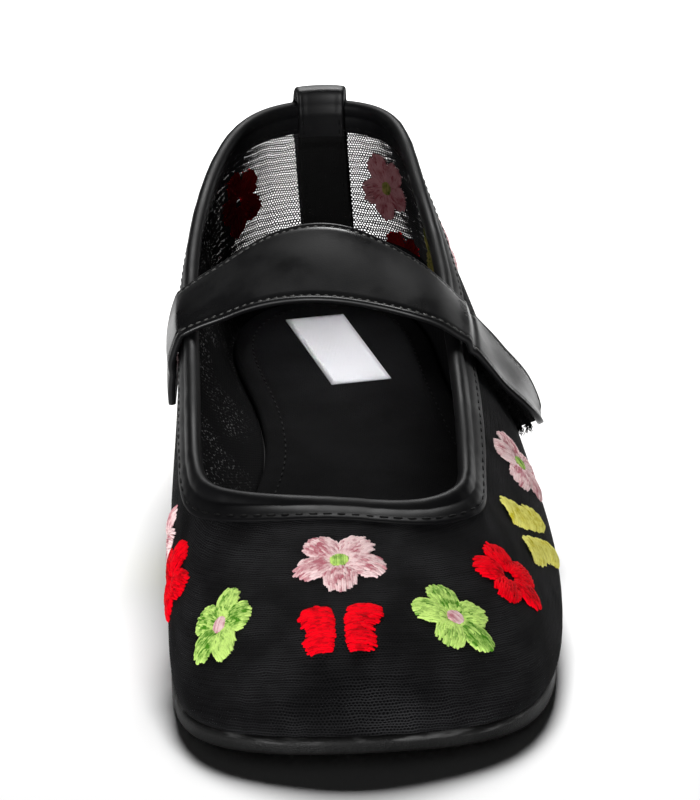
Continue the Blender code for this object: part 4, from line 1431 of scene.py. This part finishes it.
@dataclass
class HeelStrip:
    """Leather strip folded over the topline at the centre back, with a pull tab above it."""

    last: Last
    width: float = 13.5
    leather: float = 1.1
    near: float = 0.5
    clear: float = 2.0
    binding_depth: float = 7.0
    step_from: float = 1.0
    step_to: float = 4.5
    step_lead: float = 0.4
    net_lead: float = 1.5
    lap_rows: int = 9
    step_rows: int = 8
    leg_rows: int = 24
    tab_rise: float = 5.5
    tab_drop: float = 0.5
    tab_round: float = 1.2
    tab_rows: int = 8
    inner_end: float = 50.0
    outer_end: float = 52.0
    across_steps: int = 22
    edge_share: float = 0.4
    edge_round: float = 0.8
    seam_in: float = 1.4
    seam_depth: float = 0.12
    seam_width: float = 0.5
    stitch_from: float = 2.0
    stitch_sink: float = 0.1
    gloss_above: float = 61.0

    def turns(self, share: np.ndarray, below: np.ndarray) -> np.ndarray:
        """Ring places at shares of the strip's width from the centre back."""
        step = 0.1
        run = self.last.skin(np.full(below.shape, step), below, 0.0) - self.last.skin(-step, below, 0.0)
        return share * self.width * 2.0 * step / np.linalg.norm(run, axis=-1)

    def leg(self, end: float) -> np.ndarray:
        """Places below the topline along one leg."""
        lap = self.binding_depth + self.step_from
        seat = self.binding_depth + self.step_to
        return np.concatenate([np.linspace(0.0, lap, self.lap_rows),
                               np.linspace(lap + self.step_lead, seat, self.step_rows),
                               np.linspace(seat + self.net_lead, end, self.leg_rows)])

    def gap(self, below: np.ndarray) -> np.ndarray:
        """Underside of a leg off the wall: over the binding, then down on the net."""
        sunk = soft_step(self.binding_depth + self.step_from, self.binding_depth + self.step_to, below)
        return self.clear + (self.near - self.clear) * sunk

    def build(self) -> None:
        """The strip and its seams."""
        wall = self.last.wall
        outer, inner = self.leg(self.outer_end), self.leg(self.inner_end)
        slot_top = -(self.clear + self.last.clearance)
        quarter = 0.5 * math.pi * np.linspace(0.0, 1.0, self.tab_rows)[1:]
        shares = 0.5 * np.sin(np.linspace(-0.5 * math.pi, 0.5 * math.pi, self.across_steps + 1))
        sections = []
        for share in shares:
            margin = (0.5 - abs(share)) * self.width
            fall = 1.0 - min(margin / self.edge_round, 1.0)
            thick = self.leather * (self.edge_share + (1.0 - self.edge_share) * math.sqrt(1.0 - fall ** 2))
            thick -= self.seam_depth * math.exp(-((margin - self.seam_in) / self.seam_width) ** 2)
            outer_gap = np.stack([outer, self.gap(outer)], axis=-1)
            inner_gap = np.stack([inner, -wall - self.gap(inner)], axis=-1)
            outer_face = outer_gap + (0.0, thick)
            inner_face = inner_gap - (0.0, thick)
            top = -self.tab_rise + self.tab_drop * max(0.0, 1.0 - margin / self.tab_round) ** 2
            high = top * np.sin(quarter)
            lean = thick + (0.5 * self.clear + thick) * np.cos(quarter)
            tab_inner = np.stack([high, -0.5 * wall - lean], axis=-1)
            tab_outer = np.stack([high, -0.5 * wall + lean], axis=-1)
            slot = np.array([(slot_top, 0.5 * self.clear), (slot_top, -wall - 0.5 * self.clear)])
            sections.append(np.concatenate([outer_gap[::-1], slot, inner_gap, inner_face[::-1],
                                            tab_inner, tab_outer[::-1], outer_face]))
        sections = np.array(sections)
        below, off = sections[..., 0], sections[..., 1]
        points = self.last.skin(self.turns(shares[:, None], below), below, off)
        strip = make_piece("leather_heel_strip", points, tube_faces(*below.shape))
        face_out(strip)
        settle(strip, ["heel_strip"], SUEDE.material())
        strip.data.materials.append(LEATHER.material())
        for face in strip.data.polygons:
            face.material_index = int(face.center.z > self.gloss_above * MM)
        paths = []
        for legs, outside in ((outer, True), (inner, False)):
            sewn = legs[legs > self.stitch_from]
            off = self.gap(sewn) + self.leather - self.stitch_sink
            off = off if outside else -wall - off
            for share in (-0.5, 0.5):
                inset = share * (1.0 - 2.0 * self.seam_in / self.width)
                paths.append(self.last.skin(self.turns(inset, sewn), sewn, off))
        StitchRow("heel_strip_stitches", pitch=2.6, length=1.8, radius=0.18).build(paths, "leather")


# Sole and insole

@dataclass
class Sole:
    """Rubber sole with its low heel, the insole on it and the bare label."""

    last: Last
    turn_step: float = 0.05
    ledge: float = 0.8
    edge_round: float = 1.3
    bend_rows: int = 5
    sharp_angle: float = 50.0
    streak_from: float = 70.0
    streak_reach: float = 40.0
    streak_levels: int = 4
    breast: float = 3.05
    breast_slope: float = 0.03
    strips: int = 28
    groove_pitch: float = 6.0
    groove_depth: float = 0.7
    groove_flank: Range = (0.55, 0.9)
    insole_inset: float = 1.9
    insole_thickness: float = 2.5
    insole_bends: tuple[float, ...] = (60.0, 30.0, 0.0)
    insole_seam: float = 5.0
    seam_half: float = 0.9
    seam_dip: float = 0.35
    stitch_sink: float = 0.25
    label_width: float = 15.5
    label_length: float = 46.0
    label_points: tuple[int, int] = (13, 31)
    label_thickness: float = 0.5
    label_edge: float = 0.6
    label_hem: float = 1.3
    label_gap: float = 0.1
    label_back: float = 38.5
    label_angle: float = 13.0

    def turns(self) -> np.ndarray:
        """Ring places of the sole's edge, with the heel's front face."""
        turns = ring_turns(self.turn_step)
        breast = np.array([self.breast - self.breast_slope, self.breast + self.breast_slope])
        return np.sort(np.concatenate([turns, breast, COUNT - breast]))

    def bottom(self, turns: np.ndarray) -> np.ndarray:
        """Underside of the sole: heel, arch, flat forefoot and toe."""
        place = np.minimum(turns, COUNT - turns)
        return np.where(place < self.breast, 0.0, self.last.seat(turns))

    def build_outsole(self) -> None:
        """The sole, with rounded edges and grooves under it."""
        turns = self.turns()
        top = self.last.sole_thickness + self.last.seat(turns)
        low = self.bottom(turns)
        angles = np.radians(np.linspace(0.0, 90.0, self.bend_rows))
        levels = []
        for angle, upper in [(angle, True) for angle in angles[::-1]] + [(angle, False) for angle in angles]:
            out = self.ledge - self.edge_round * (1.0 - math.cos(angle))
            edge = self.edge_round * (1.0 - math.sin(angle))
            levels.append(self.last.sole_ring(turns, out, top - edge if upper else low + edge))
        points, faces = slab(levels, self.strips)
        rim = len(levels) * len(turns)
        under = rim + (len(points) - rim) // 2
        wave = np.cos(2.0 * math.pi * points[under:, 1] / self.groove_pitch)
        points[under:, 2] += self.groove_depth * soft_step(*self.groove_flank, wave)
        sole = make_piece("rubber_sole", points, faces)
        sole.data.set_sharp_from_angle(angle=math.radians(self.sharp_angle))
        # Light streaks on the sole's upper rounded edge towards the toe: scuffs and painted highlight.
        streak_share = soft_step(self.streak_from, self.streak_from + self.streak_reach, -points[:, 1])
        streak_share[self.streak_levels * len(turns):] = 0.0
        sole.data.attributes.new(SCUFF_AND_SHEEN, "FLOAT", "POINT").data.foreach_set("value", streak_share)
        settle(sole, ["outsole"], RUBBER.material())

    def insole_level(self) -> float:
        """Top of the insole above the sole."""
        return self.last.clearance + self.insole_thickness

    def build_insole(self) -> None:
        """Thin padded insole with a seam inside its edge."""
        turns = ring_turns(self.turn_step)
        seat = self.last.sole_thickness + self.last.seat(turns)
        top = seat + self.insole_level()
        edge = 0.5 * self.insole_thickness
        seam, half = self.insole_seam, self.seam_half
        rings = [(self.insole_inset + inset, top - dip) for inset, dip in
                 ((seam + half, 0.0), (seam, self.seam_dip), (seam - half, 0.0), (edge, 0.0))]
        for angle in np.radians(self.insole_bends):
            inset = self.insole_inset + edge * (1.0 - math.cos(angle))
            rings.append((inset, top - edge * (1.0 - math.sin(angle))))
        rings.append((self.insole_inset, seat + self.last.clearance))
        levels = [self.last.sole_ring(turns, -inset, level) for inset, level in rings]
        insole = make_piece("napped_insole", *slab(levels, self.strips))
        settle(insole, ["insole"], SOCK.material())
        row = self.last.sole_ring(turns, -self.insole_inset - seam, top - self.stitch_sink)
        StitchRow("insole_stitches", pitch=3.0, length=2.0).build([row], "lining", closed=True)

    def build_label(self) -> None:
        """Bare woven label on the heel seat, turned a little."""
        sizes = (self.label_width, self.label_length)
        steps = [np.linspace(-0.5, 0.5, count) * size for count, size in zip(self.label_points, sizes)]
        x, y = np.meshgrid(*steps)
        near = np.minimum(0.5 * self.label_width - np.abs(x), 0.5 * self.label_length - np.abs(y))
        inside = soft_step(0.0, self.label_hem, near)
        lift = self.label_thickness * (self.label_edge + (1.0 - self.label_edge) * inside)
        angle = math.radians(self.label_angle)
        across = x * math.cos(angle) - y * math.sin(angle) + self.last.axis_x
        along = x * math.sin(angle) + y * math.cos(angle) + self.last.heel_y - self.label_back
        plan = np.stack([across, along], axis=-1)
        floor = self.last.sole_thickness + self.last.heel_lift + self.insole_level() + self.label_gap
        top = np.concatenate([plan, (floor + lift)[..., None]], axis=-1)
        bottom = np.concatenate([plan, np.full(x.shape, floor)[..., None]], axis=-1)
        settle(cushion("bare_label", top, bottom), ["insole_label"], SATIN.material())


# Embroidery

class Figure(Enum):
    """What a motif shows."""

    FLOWER = "flower"
    BUTTERFLY = "butterfly"


class Motif(NamedTuple):
    """One embroidered figure: its place on the wall, its turn, its size, and its width as a share of that."""

    figure: Figure
    yarn: Yarn
    heart: Yarn | None
    turn: float
    below: float
    heading: float
    size: float
    width: float = 1.0


MOTIFS = (
    Motif(Figure.FLOWER, Yarn.PINK, Yarn.GREEN, 10.18, 21.8, 0.0, 20.5),
    Motif(Figure.BUTTERFLY, Yarn.RED, None, 10.2, 44.0, 0.0, 18.5),
    Motif(Figure.FLOWER, Yarn.GREEN, Yarn.PINK, 11.55, 38.0, 168.0, 23.5, 0.56),
    Motif(Figure.FLOWER, Yarn.GREEN, Yarn.PINK, 8.9, 36.6, 48.0, 20.5, 0.84),
    Motif(Figure.FLOWER, Yarn.RED, None, 12.84, 28.0, -2.0, 21.5, 0.55),
    Motif(Figure.FLOWER, Yarn.RED, None, 7.97, 25.0, 43.0, 19.5, 0.9),
    Motif(Figure.BUTTERFLY, Yarn.YELLOW, None, 6.54, 27.3, 83.0, 19.5),
    Motif(Figure.FLOWER, Yarn.PINK, Yarn.GREEN, 5.86, 21.7, 10.0, 19.0),
    Motif(Figure.FLOWER, Yarn.PINK, Yarn.GREEN, 13.6, 26.0, -10.0, 15.5),
    Motif(Figure.BUTTERFLY, Yarn.YELLOW, None, 14.75, 42.0, -80.0, 16.0),
    Motif(Figure.FLOWER, Yarn.RED, None, 4.35, 24.0, 0.0, 19.0),
    Motif(Figure.FLOWER, Yarn.PINK, Yarn.GREEN, 3.08, 16.0, 25.0, 19.0),
    Motif(Figure.FLOWER, Yarn.GREEN, Yarn.PINK, 2.1, 32.0, 0.0, 19.0),
    Motif(Figure.FLOWER, Yarn.PINK, Yarn.GREEN, 0.95, 22.0, 15.0, 19.0, 0.82),
    Motif(Figure.FLOWER, Yarn.RED, None, 1.1, 42.0, 5.0, 18.0),
    Motif(Figure.FLOWER, Yarn.PINK, Yarn.GREEN, 16.15, 25.0, 0.0, 19.0),
    Motif(Figure.BUTTERFLY, Yarn.YELLOW, None, 17.0, 32.0, 0.0, 19.0),
    Motif(Figure.FLOWER, Yarn.RED, None, 18.6, 22.0, 0.0, 19.0),
)


class Stitch(NamedTuple):
    """One laid thread of a motif, in the motif's own plane: its ends, its height at both, and its tone."""

    start: np.ndarray
    end: np.ndarray
    start_rise: float
    end_rise: float
    tone: float


@dataclass
class Embroidery:
    """Flowers and butterflies filled with short stitches on the net.

    Reaches, widths, heights and the heart's radius are shares of the figure's own sizes, and rises are in
    millimetres. Tones are pairs of the lowest tone and the range above it.
    """

    upper: Upper
    ground: BVHTree
    thread: float = 0.33
    thread_sides: int = 6
    pitch: float = 0.54
    stitch_length: float = 1.35
    stitch_steps: int = 3
    stitch_arch: float = 0.22
    stitch_sink: float = 0.1
    overlap: float = 0.2
    cut_scatter: float = 0.35
    scatter: float = 0.16
    tone_spread: float = 0.2
    # Edge light and the two middles set a stitch's tone by where it lies: painted light and shade.
    edge_light: float = 0.25
    line_middle: float = 0.6
    petal_middle: float = 0.45
    petals: int = 5
    petal_reach: float = 0.5
    petal_width: float = 0.4
    petal_round: float = 0.3
    petal_lengths: Range = (0.92, 1.05)
    petal_turn_scatter: float = 3.0
    petal_end_scatter: float = 0.25
    petal_tones: Range = (0.45, 0.5)
    root_reach: float = 0.17
    root_width: float = 0.4
    belly_reach: float = 0.5
    belly_width: float = 1.1
    tip_width: float = 0.88
    petal_edge_rise: float = 0.3
    petal_crown: float = 0.45
    heart_radius: float = 0.1
    heart_margin: float = 0.3
    heart_pitch: float = 0.5
    heart_rise: float = 0.35
    heart_tones: Range = (0.4, 0.4)
    wing_reach: float = 0.5
    wing_height: float = 0.36
    wing_rise: float = 0.6
    wing_lean: float = 1.03
    wing_end_scatter: float = 0.22
    wing_tones: Range = (0.65, 0.25)
    wing_places: tuple[float, ...] = (-1.0, -0.88, -0.5, -0.15, 0.02, 0.18, 0.55, 0.88, 1.0)
    wing_ends: tuple[float, ...] = (0.66, 0.80, 0.85, 0.81, 0.78, 0.88, 1.0, 0.98, 0.84)
    body_half: float = 0.12
    body_flare: float = 0.10
    back_depth: float = 0.3
    back_rise: float = 0.3
    # Painted shade: tint that darkens the threads seen from inside the shoe.
    back_shade_tint: Colour = (0.22, 0.13, 0.14)
    sewing_reach: float = 30.0
    seed: int = 11
    rng: np.random.Generator = field(init=False)

    def __post_init__(self) -> None:
        """Start the fixed draw of small differences between stitches."""
        self.rng = np.random.default_rng(self.seed)

    def draw_tone(self, tones: Range) -> float:
        """Tone of one part."""
        lowest, above = tones
        return lowest + above * self.rng.random()

    def fill(self, line: Sequence[np.ndarray], crown: float, tone: float) -> list[Stitch]:
        """Short overlapping stitches along a bent line.

        Args:
            line: Its start, its bend and its end.
            crown: Height of its middle.
            tone: Mean tone.

        Returns:
            The stitches.
        """
        first, bend, last = line
        length = np.linalg.norm(bend - first) + np.linalg.norm(last - bend)
        count = max(2, round(length / self.stitch_length))
        moved = self.rng.uniform(-self.cut_scatter, self.cut_scatter, count - 1)
        cuts = np.concatenate([[0.0], (np.arange(1, count) + moved) / count, [1.0]])
        over = self.overlap / count
        stitches = []
        for near, far in zip(cuts, cuts[1:]):
            ends = np.clip((near - over, far + over), 0.0, 1.0)[:, None]
            places = (1.0 - ends) ** 2 * first + 2.0 * ends * (1.0 - ends) * bend + ends ** 2 * last
            places = places + self.rng.normal(0.0, self.scatter, (2, 2))
            rises = crown * np.sqrt(np.sin(math.pi * ends[:, 0])) - self.stitch_sink
            # Painted light: stitches lighter at the ends of a line, darker in its middle.
            light = self.edge_light * (self.line_middle - math.sin(math.pi * 0.5 * (near + far)))
            shade = float(np.clip(tone + light + self.rng.normal(0.0, self.tone_spread), 0.0, 1.0))
            stitches.append(Stitch(*places, *rises, shade))
        return stitches

    def flower(self, motif: Motif) -> list[Stitch]:
        """Petals of a flower, each filled along its length."""
        reach = self.petal_reach * motif.size
        wide = self.petal_width * motif.size
        stitches = []
        for petal in range(self.petals):
            turn = self.rng.normal(0.0, self.petal_turn_scatter)
            angle = math.radians(360.0 / self.petals * petal - 90.0 + turn)
            along = np.array([math.cos(angle), math.sin(angle)])
            across = np.array([-along[1], along[0]])
            tone = self.draw_tone(self.petal_tones)
            columns = round(wide / self.pitch)
            length = reach * self.rng.uniform(*self.petal_lengths)
            for column in range(columns):
                share = -1.0 + 2.0 * (column + 0.5) / columns
                side = 0.5 * wide * share * across
                arc = 1.0 - self.petal_round + self.petal_round * math.sqrt(1.0 - share ** 2)
                tip = length * arc + self.rng.normal(0.0, self.petal_end_scatter)
                root = along * self.root_reach * reach + self.root_width * side
                belly = along * self.belly_reach * tip + self.belly_width * side
                line = (root, belly, along * tip + self.tip_width * side)
                # Painted light: stitches lighter towards the petal's edges, darker in its middle.
                lit = tone + self.edge_light * (share ** 2 - self.petal_middle)
                stitches += self.fill(line, self.petal_edge_rise + self.petal_crown * (1.0 - share ** 2), lit)
        return stitches

    def heart(self, motif: Motif) -> list[Stitch]:
        """Small round heart of a flower."""
        radius = self.heart_radius * motif.size
        stitches = []
        for place in np.arange(-radius + self.heart_margin, radius, self.heart_pitch):
            half = math.sqrt(radius ** 2 - place ** 2)
            ends = np.array([(place, -half), (place, half)])
            stitches.append(Stitch(*ends, self.heart_rise, self.heart_rise, self.draw_tone(self.heart_tones)))
        return stitches

    def butterfly(self, motif: Motif) -> list[Stitch]:
        """Two wings, each of two lobes, beside a bare body."""
        half = self.wing_reach * motif.size
        tall = self.wing_height * motif.size
        stitches = []
        for side in (-1.0, 1.0):
            tone = self.draw_tone(self.wing_tones)
            for place in np.arange(-tall, tall, self.pitch):
                reach = float(np.interp(place / tall, self.wing_places, self.wing_ends))
                far = half * reach + self.rng.normal(0.0, self.wing_end_scatter)
                near = half * (self.body_half + self.body_flare * abs(place / tall) ** 3)
                start = np.array([side * near, place])
                end = np.array([side * far, self.wing_lean * place])
                stitches += self.fill((start, 0.5 * (start + end), end), self.wing_rise, tone)
        return stitches

    def lay(self, motif: Motif, stitches: Sequence[Stitch],
            inside: bool) -> tuple[list[np.ndarray], list[float]]:
        """Lay stitches on the net.

        Args:
            motif: The motif that they belong to.
            stitches: Its stitches.
            inside: Lay them on the wrong side of the net.

        Returns:
            Points of each thread, and its tone.
        """
        turn, climb = self.upper.place(motif.turn, motif.below)
        centre, level, up = self.upper.axes(turn, climb)
        normal = self.upper.last.normal(turn, climb)
        angle = math.radians(motif.heading)
        across = math.cos(angle) * level + math.sin(angle) * up
        along = math.cos(angle) * up - math.sin(angle) * level
        raised = self.sewing_reach * normal
        shares = np.linspace(0.0, 1.0, self.stitch_steps + 1)
        paths, tones = [], []
        for stitch in stitches:
            flat = np.outer(1.0 - shares, stitch.start) + np.outer(shares, stitch.end)
            above = centre + motif.width * flat[:, :1] * across + flat[:, 1:] * along + raised
            rises = stitch.start_rise + (stitch.end_rise - stitch.start_rise) * shares
            rises = rises + self.stitch_arch * np.sin(math.pi * shares)
            rises = -self.back_depth - self.back_rise * rises if inside else rises
            path = []
            for point, rise in zip(above, rises):
                hit, face_normal, _, _ = self.ground.ray_cast(Vector(point), Vector(-normal),
                                                              2.0 * self.sewing_reach)
                if hit is not None:
                    path.append(np.array(hit) + rise * np.array(face_normal))
            if len(path) == len(shares):
                paths.append(np.array(path))
                tones.append(stitch.tone)
        return paths, tones

    def build(self) -> None:
        """Sew every motif, one piece for each colour of thread, with its back where no lining hides it."""
        figures = {Figure.FLOWER: self.flower, Figure.BUTTERFLY: self.butterfly}
        sides = {(yarn, inside): ([], []) for yarn in Yarn for inside in (False, True)}
        for motif in MOTIFS:
            parts = [(motif.yarn, figures[motif.figure](motif))]
            if motif.heart:
                parts.append((motif.heart, self.heart(motif)))
            bare = not self.upper.lining_outer < motif.turn < self.upper.lining_inner
            for yarn, stitches in parts:
                for inside in (False, True) if bare else (False,):
                    for kept, laid in zip(sides[yarn, inside], self.lay(motif, stitches, inside)):
                        kept.extend(laid)
        for (yarn, inside), (paths, tones) in sides.items():
            name = f"{'backing' if inside else 'embroidery'}_{yarn.name.lower()}"
            piece = make_piece(name, np.concatenate(paths), [], path_edges(len(path) for path in paths))
            shade = piece.data.attributes.new(TONE, "FLOAT", "POINT")
            shade.data.foreach_set("value", np.repeat(tones, [len(path) for path in paths]))
            # Threads inside the net take the yarn's colours darkened by the tint: painted shade.
            finish = yarn.value.turned(self.back_shade_tint) if inside else yarn.value
            run_nodes(piece, thread_tree(), {"Radius": self.thread * MM, "Sides": self.thread_sides,
                                             "Seed": self.seed, "Material": finish.material()})
            settle(piece)


# Floor, light and camera

class Reach(Enum):
    """What a light falls on, by the way in which the floor is linked to it."""

    SHOE = "EXCLUDE"
    FLOOR = "INCLUDE"


class Softbox(NamedTuple):
    """Square area light: its place, its target, its side, its power, what it falls on and its spread."""

    name: str
    place: tuple[float, float, float]
    target: tuple[float, float, float]
    side: float
    power: float
    reach: Reach = Reach.SHOE
    spread: float = 180.0


@dataclass
class Studio:
    """White floor, soft light and the camera at the photograph's angle, in metres."""

    camera_place: tuple[float, float, float] = (-0.043, -1.0404, 0.4637)
    camera_target: tuple[float, float, float] = (-0.001, 0.004, 0.0335)
    lens: float = 212.0
    clip: Range = (0.05, 50.0)
    floor_side: float = 8.0
    floor_tones: Range = (0.88, 0.92)
    floor_roughness: float = 0.8
    floor_specular: float = 0.1
    world: float = 0.012
    lights: tuple[Softbox, ...] = (
        Softbox("floor_key", (0.05, 0.98, 0.9), (0.0, 0.0, 0.0), 0.45, 36.0, Reach.FLOOR),
        Softbox("back_top", (0.05, 0.95, 0.98), (0.0, 0.0, 0.0), 0.5, 16.0),
        Softbox("front_low", (-0.35, -1.4, 0.3), (0.0, 0.0, 0.03), 0.5, 20.0),
        Softbox("left_panel", (-1.1, 0.3, 0.6), (0.0, 0.0, 0.04), 0.5, 1.6),
        Softbox("right_panel", (0.95, 0.8, 0.22), (0.0, 0.0, 0.04), 0.42, 3.2),
        Softbox("heel_lamp", (0.0, 0.1, 0.9), (0.0, 0.08, 0.015), 0.03, 0.0075, spread=6.0),
    )

    def build(self) -> None:
        """Set up floor, world, lights and camera."""
        scene = bpy.context.scene
        scene.view_settings.view_transform = "Standard"
        floor = self.build_floor()
        world = bpy.data.worlds.new("white_room")
        scene.world = world
        world.use_nodes = True
        background = world.node_tree.nodes["Background"]
        Graph(world.node_tree).feed(background, {"Color": (1.0, 1.0, 1.0, 1.0), "Strength": self.world})
        self.build_lights(floor)
        camera = bpy.data.cameras.new("camera")
        camera.lens = self.lens
        camera.clip_start, camera.clip_end = self.clip
        scene.camera = self.aim(bpy.data.objects.new("camera", camera), self.camera_place, self.camera_target)

    def build_floor(self) -> bpy.types.Object:
        """Pale floor, which isn't part of the shoe."""
        half = 0.5 * self.floor_side / MM
        corners = [(-half, -half, 0.0), (half, -half, 0.0), (half, half, 0.0), (-half, half, 0.0)]
        floor = make_piece("floor", np.array(corners), [(0, 1, 2, 3)])
        material, graph, shader = new_material("pale_floor")
        low, high = (opaque((tone,) * 3) for tone in self.floor_tones)
        colour = graph.mixed(graph.noise(graph.place(), scale=3.0), low, high)
        graph.feed(shader, {"Base Color": colour, "Roughness": self.floor_roughness,
                            "Specular IOR Level": self.floor_specular})
        floor.data.materials.append(material)
        return floor

    def build_lights(self, floor: bpy.types.Object) -> None:
        """Soft lights, each kept to what it falls on."""
        reached = {}
        for reach in Reach:
            reached[reach] = bpy.data.collections.new(f"light_on_{reach.name.lower()}")
            reached[reach].objects.link(floor)
            reached[reach].collection_objects[0].light_linking.link_state = reach.value
        for softbox in self.lights:
            lamp = bpy.data.lights.new(softbox.name, "AREA")
            lamp.size = softbox.side
            lamp.energy = softbox.power
            lamp.spread = math.radians(softbox.spread)
            light = self.aim(bpy.data.objects.new(softbox.name, lamp), softbox.place, softbox.target)
            light.light_linking.receiver_collection = reached[softbox.reach]

    def aim(self, thing: bpy.types.Object, place: Sequence[float],
            target: Sequence[float]) -> bpy.types.Object:
        """Place a light or camera and turn it to its target.

        Args:
            thing: The light or camera.
            place: Where it is.
            target: What it faces.

        Returns:
            The same object, linked to the scene.
        """
        bpy.context.scene.collection.objects.link(thing)
        thing.location = place
        thing.rotation_euler = (Vector(target) - Vector(place)).to_track_quat("-Z", "Y").to_euler()
        return thing


def main() -> None:
    """Build the studio and every piece of the shoe."""
    logging.basicConfig(level=logging.INFO, format="%(name)s %(message)s")
    last = Last()
    Studio().build()
    sole = Sole(last)
    sole.build_outsole()
    sole.build_insole()
    sole.build_label()
    upper = Upper(last)
    ground = upper.build_net()
    upper.build_lining()
    Binding(last).build()
    Strap(last).build()
    HeelStrip(last).build()
    Embroidery(upper, ground).build()


if __name__ == "__main__":
    main()
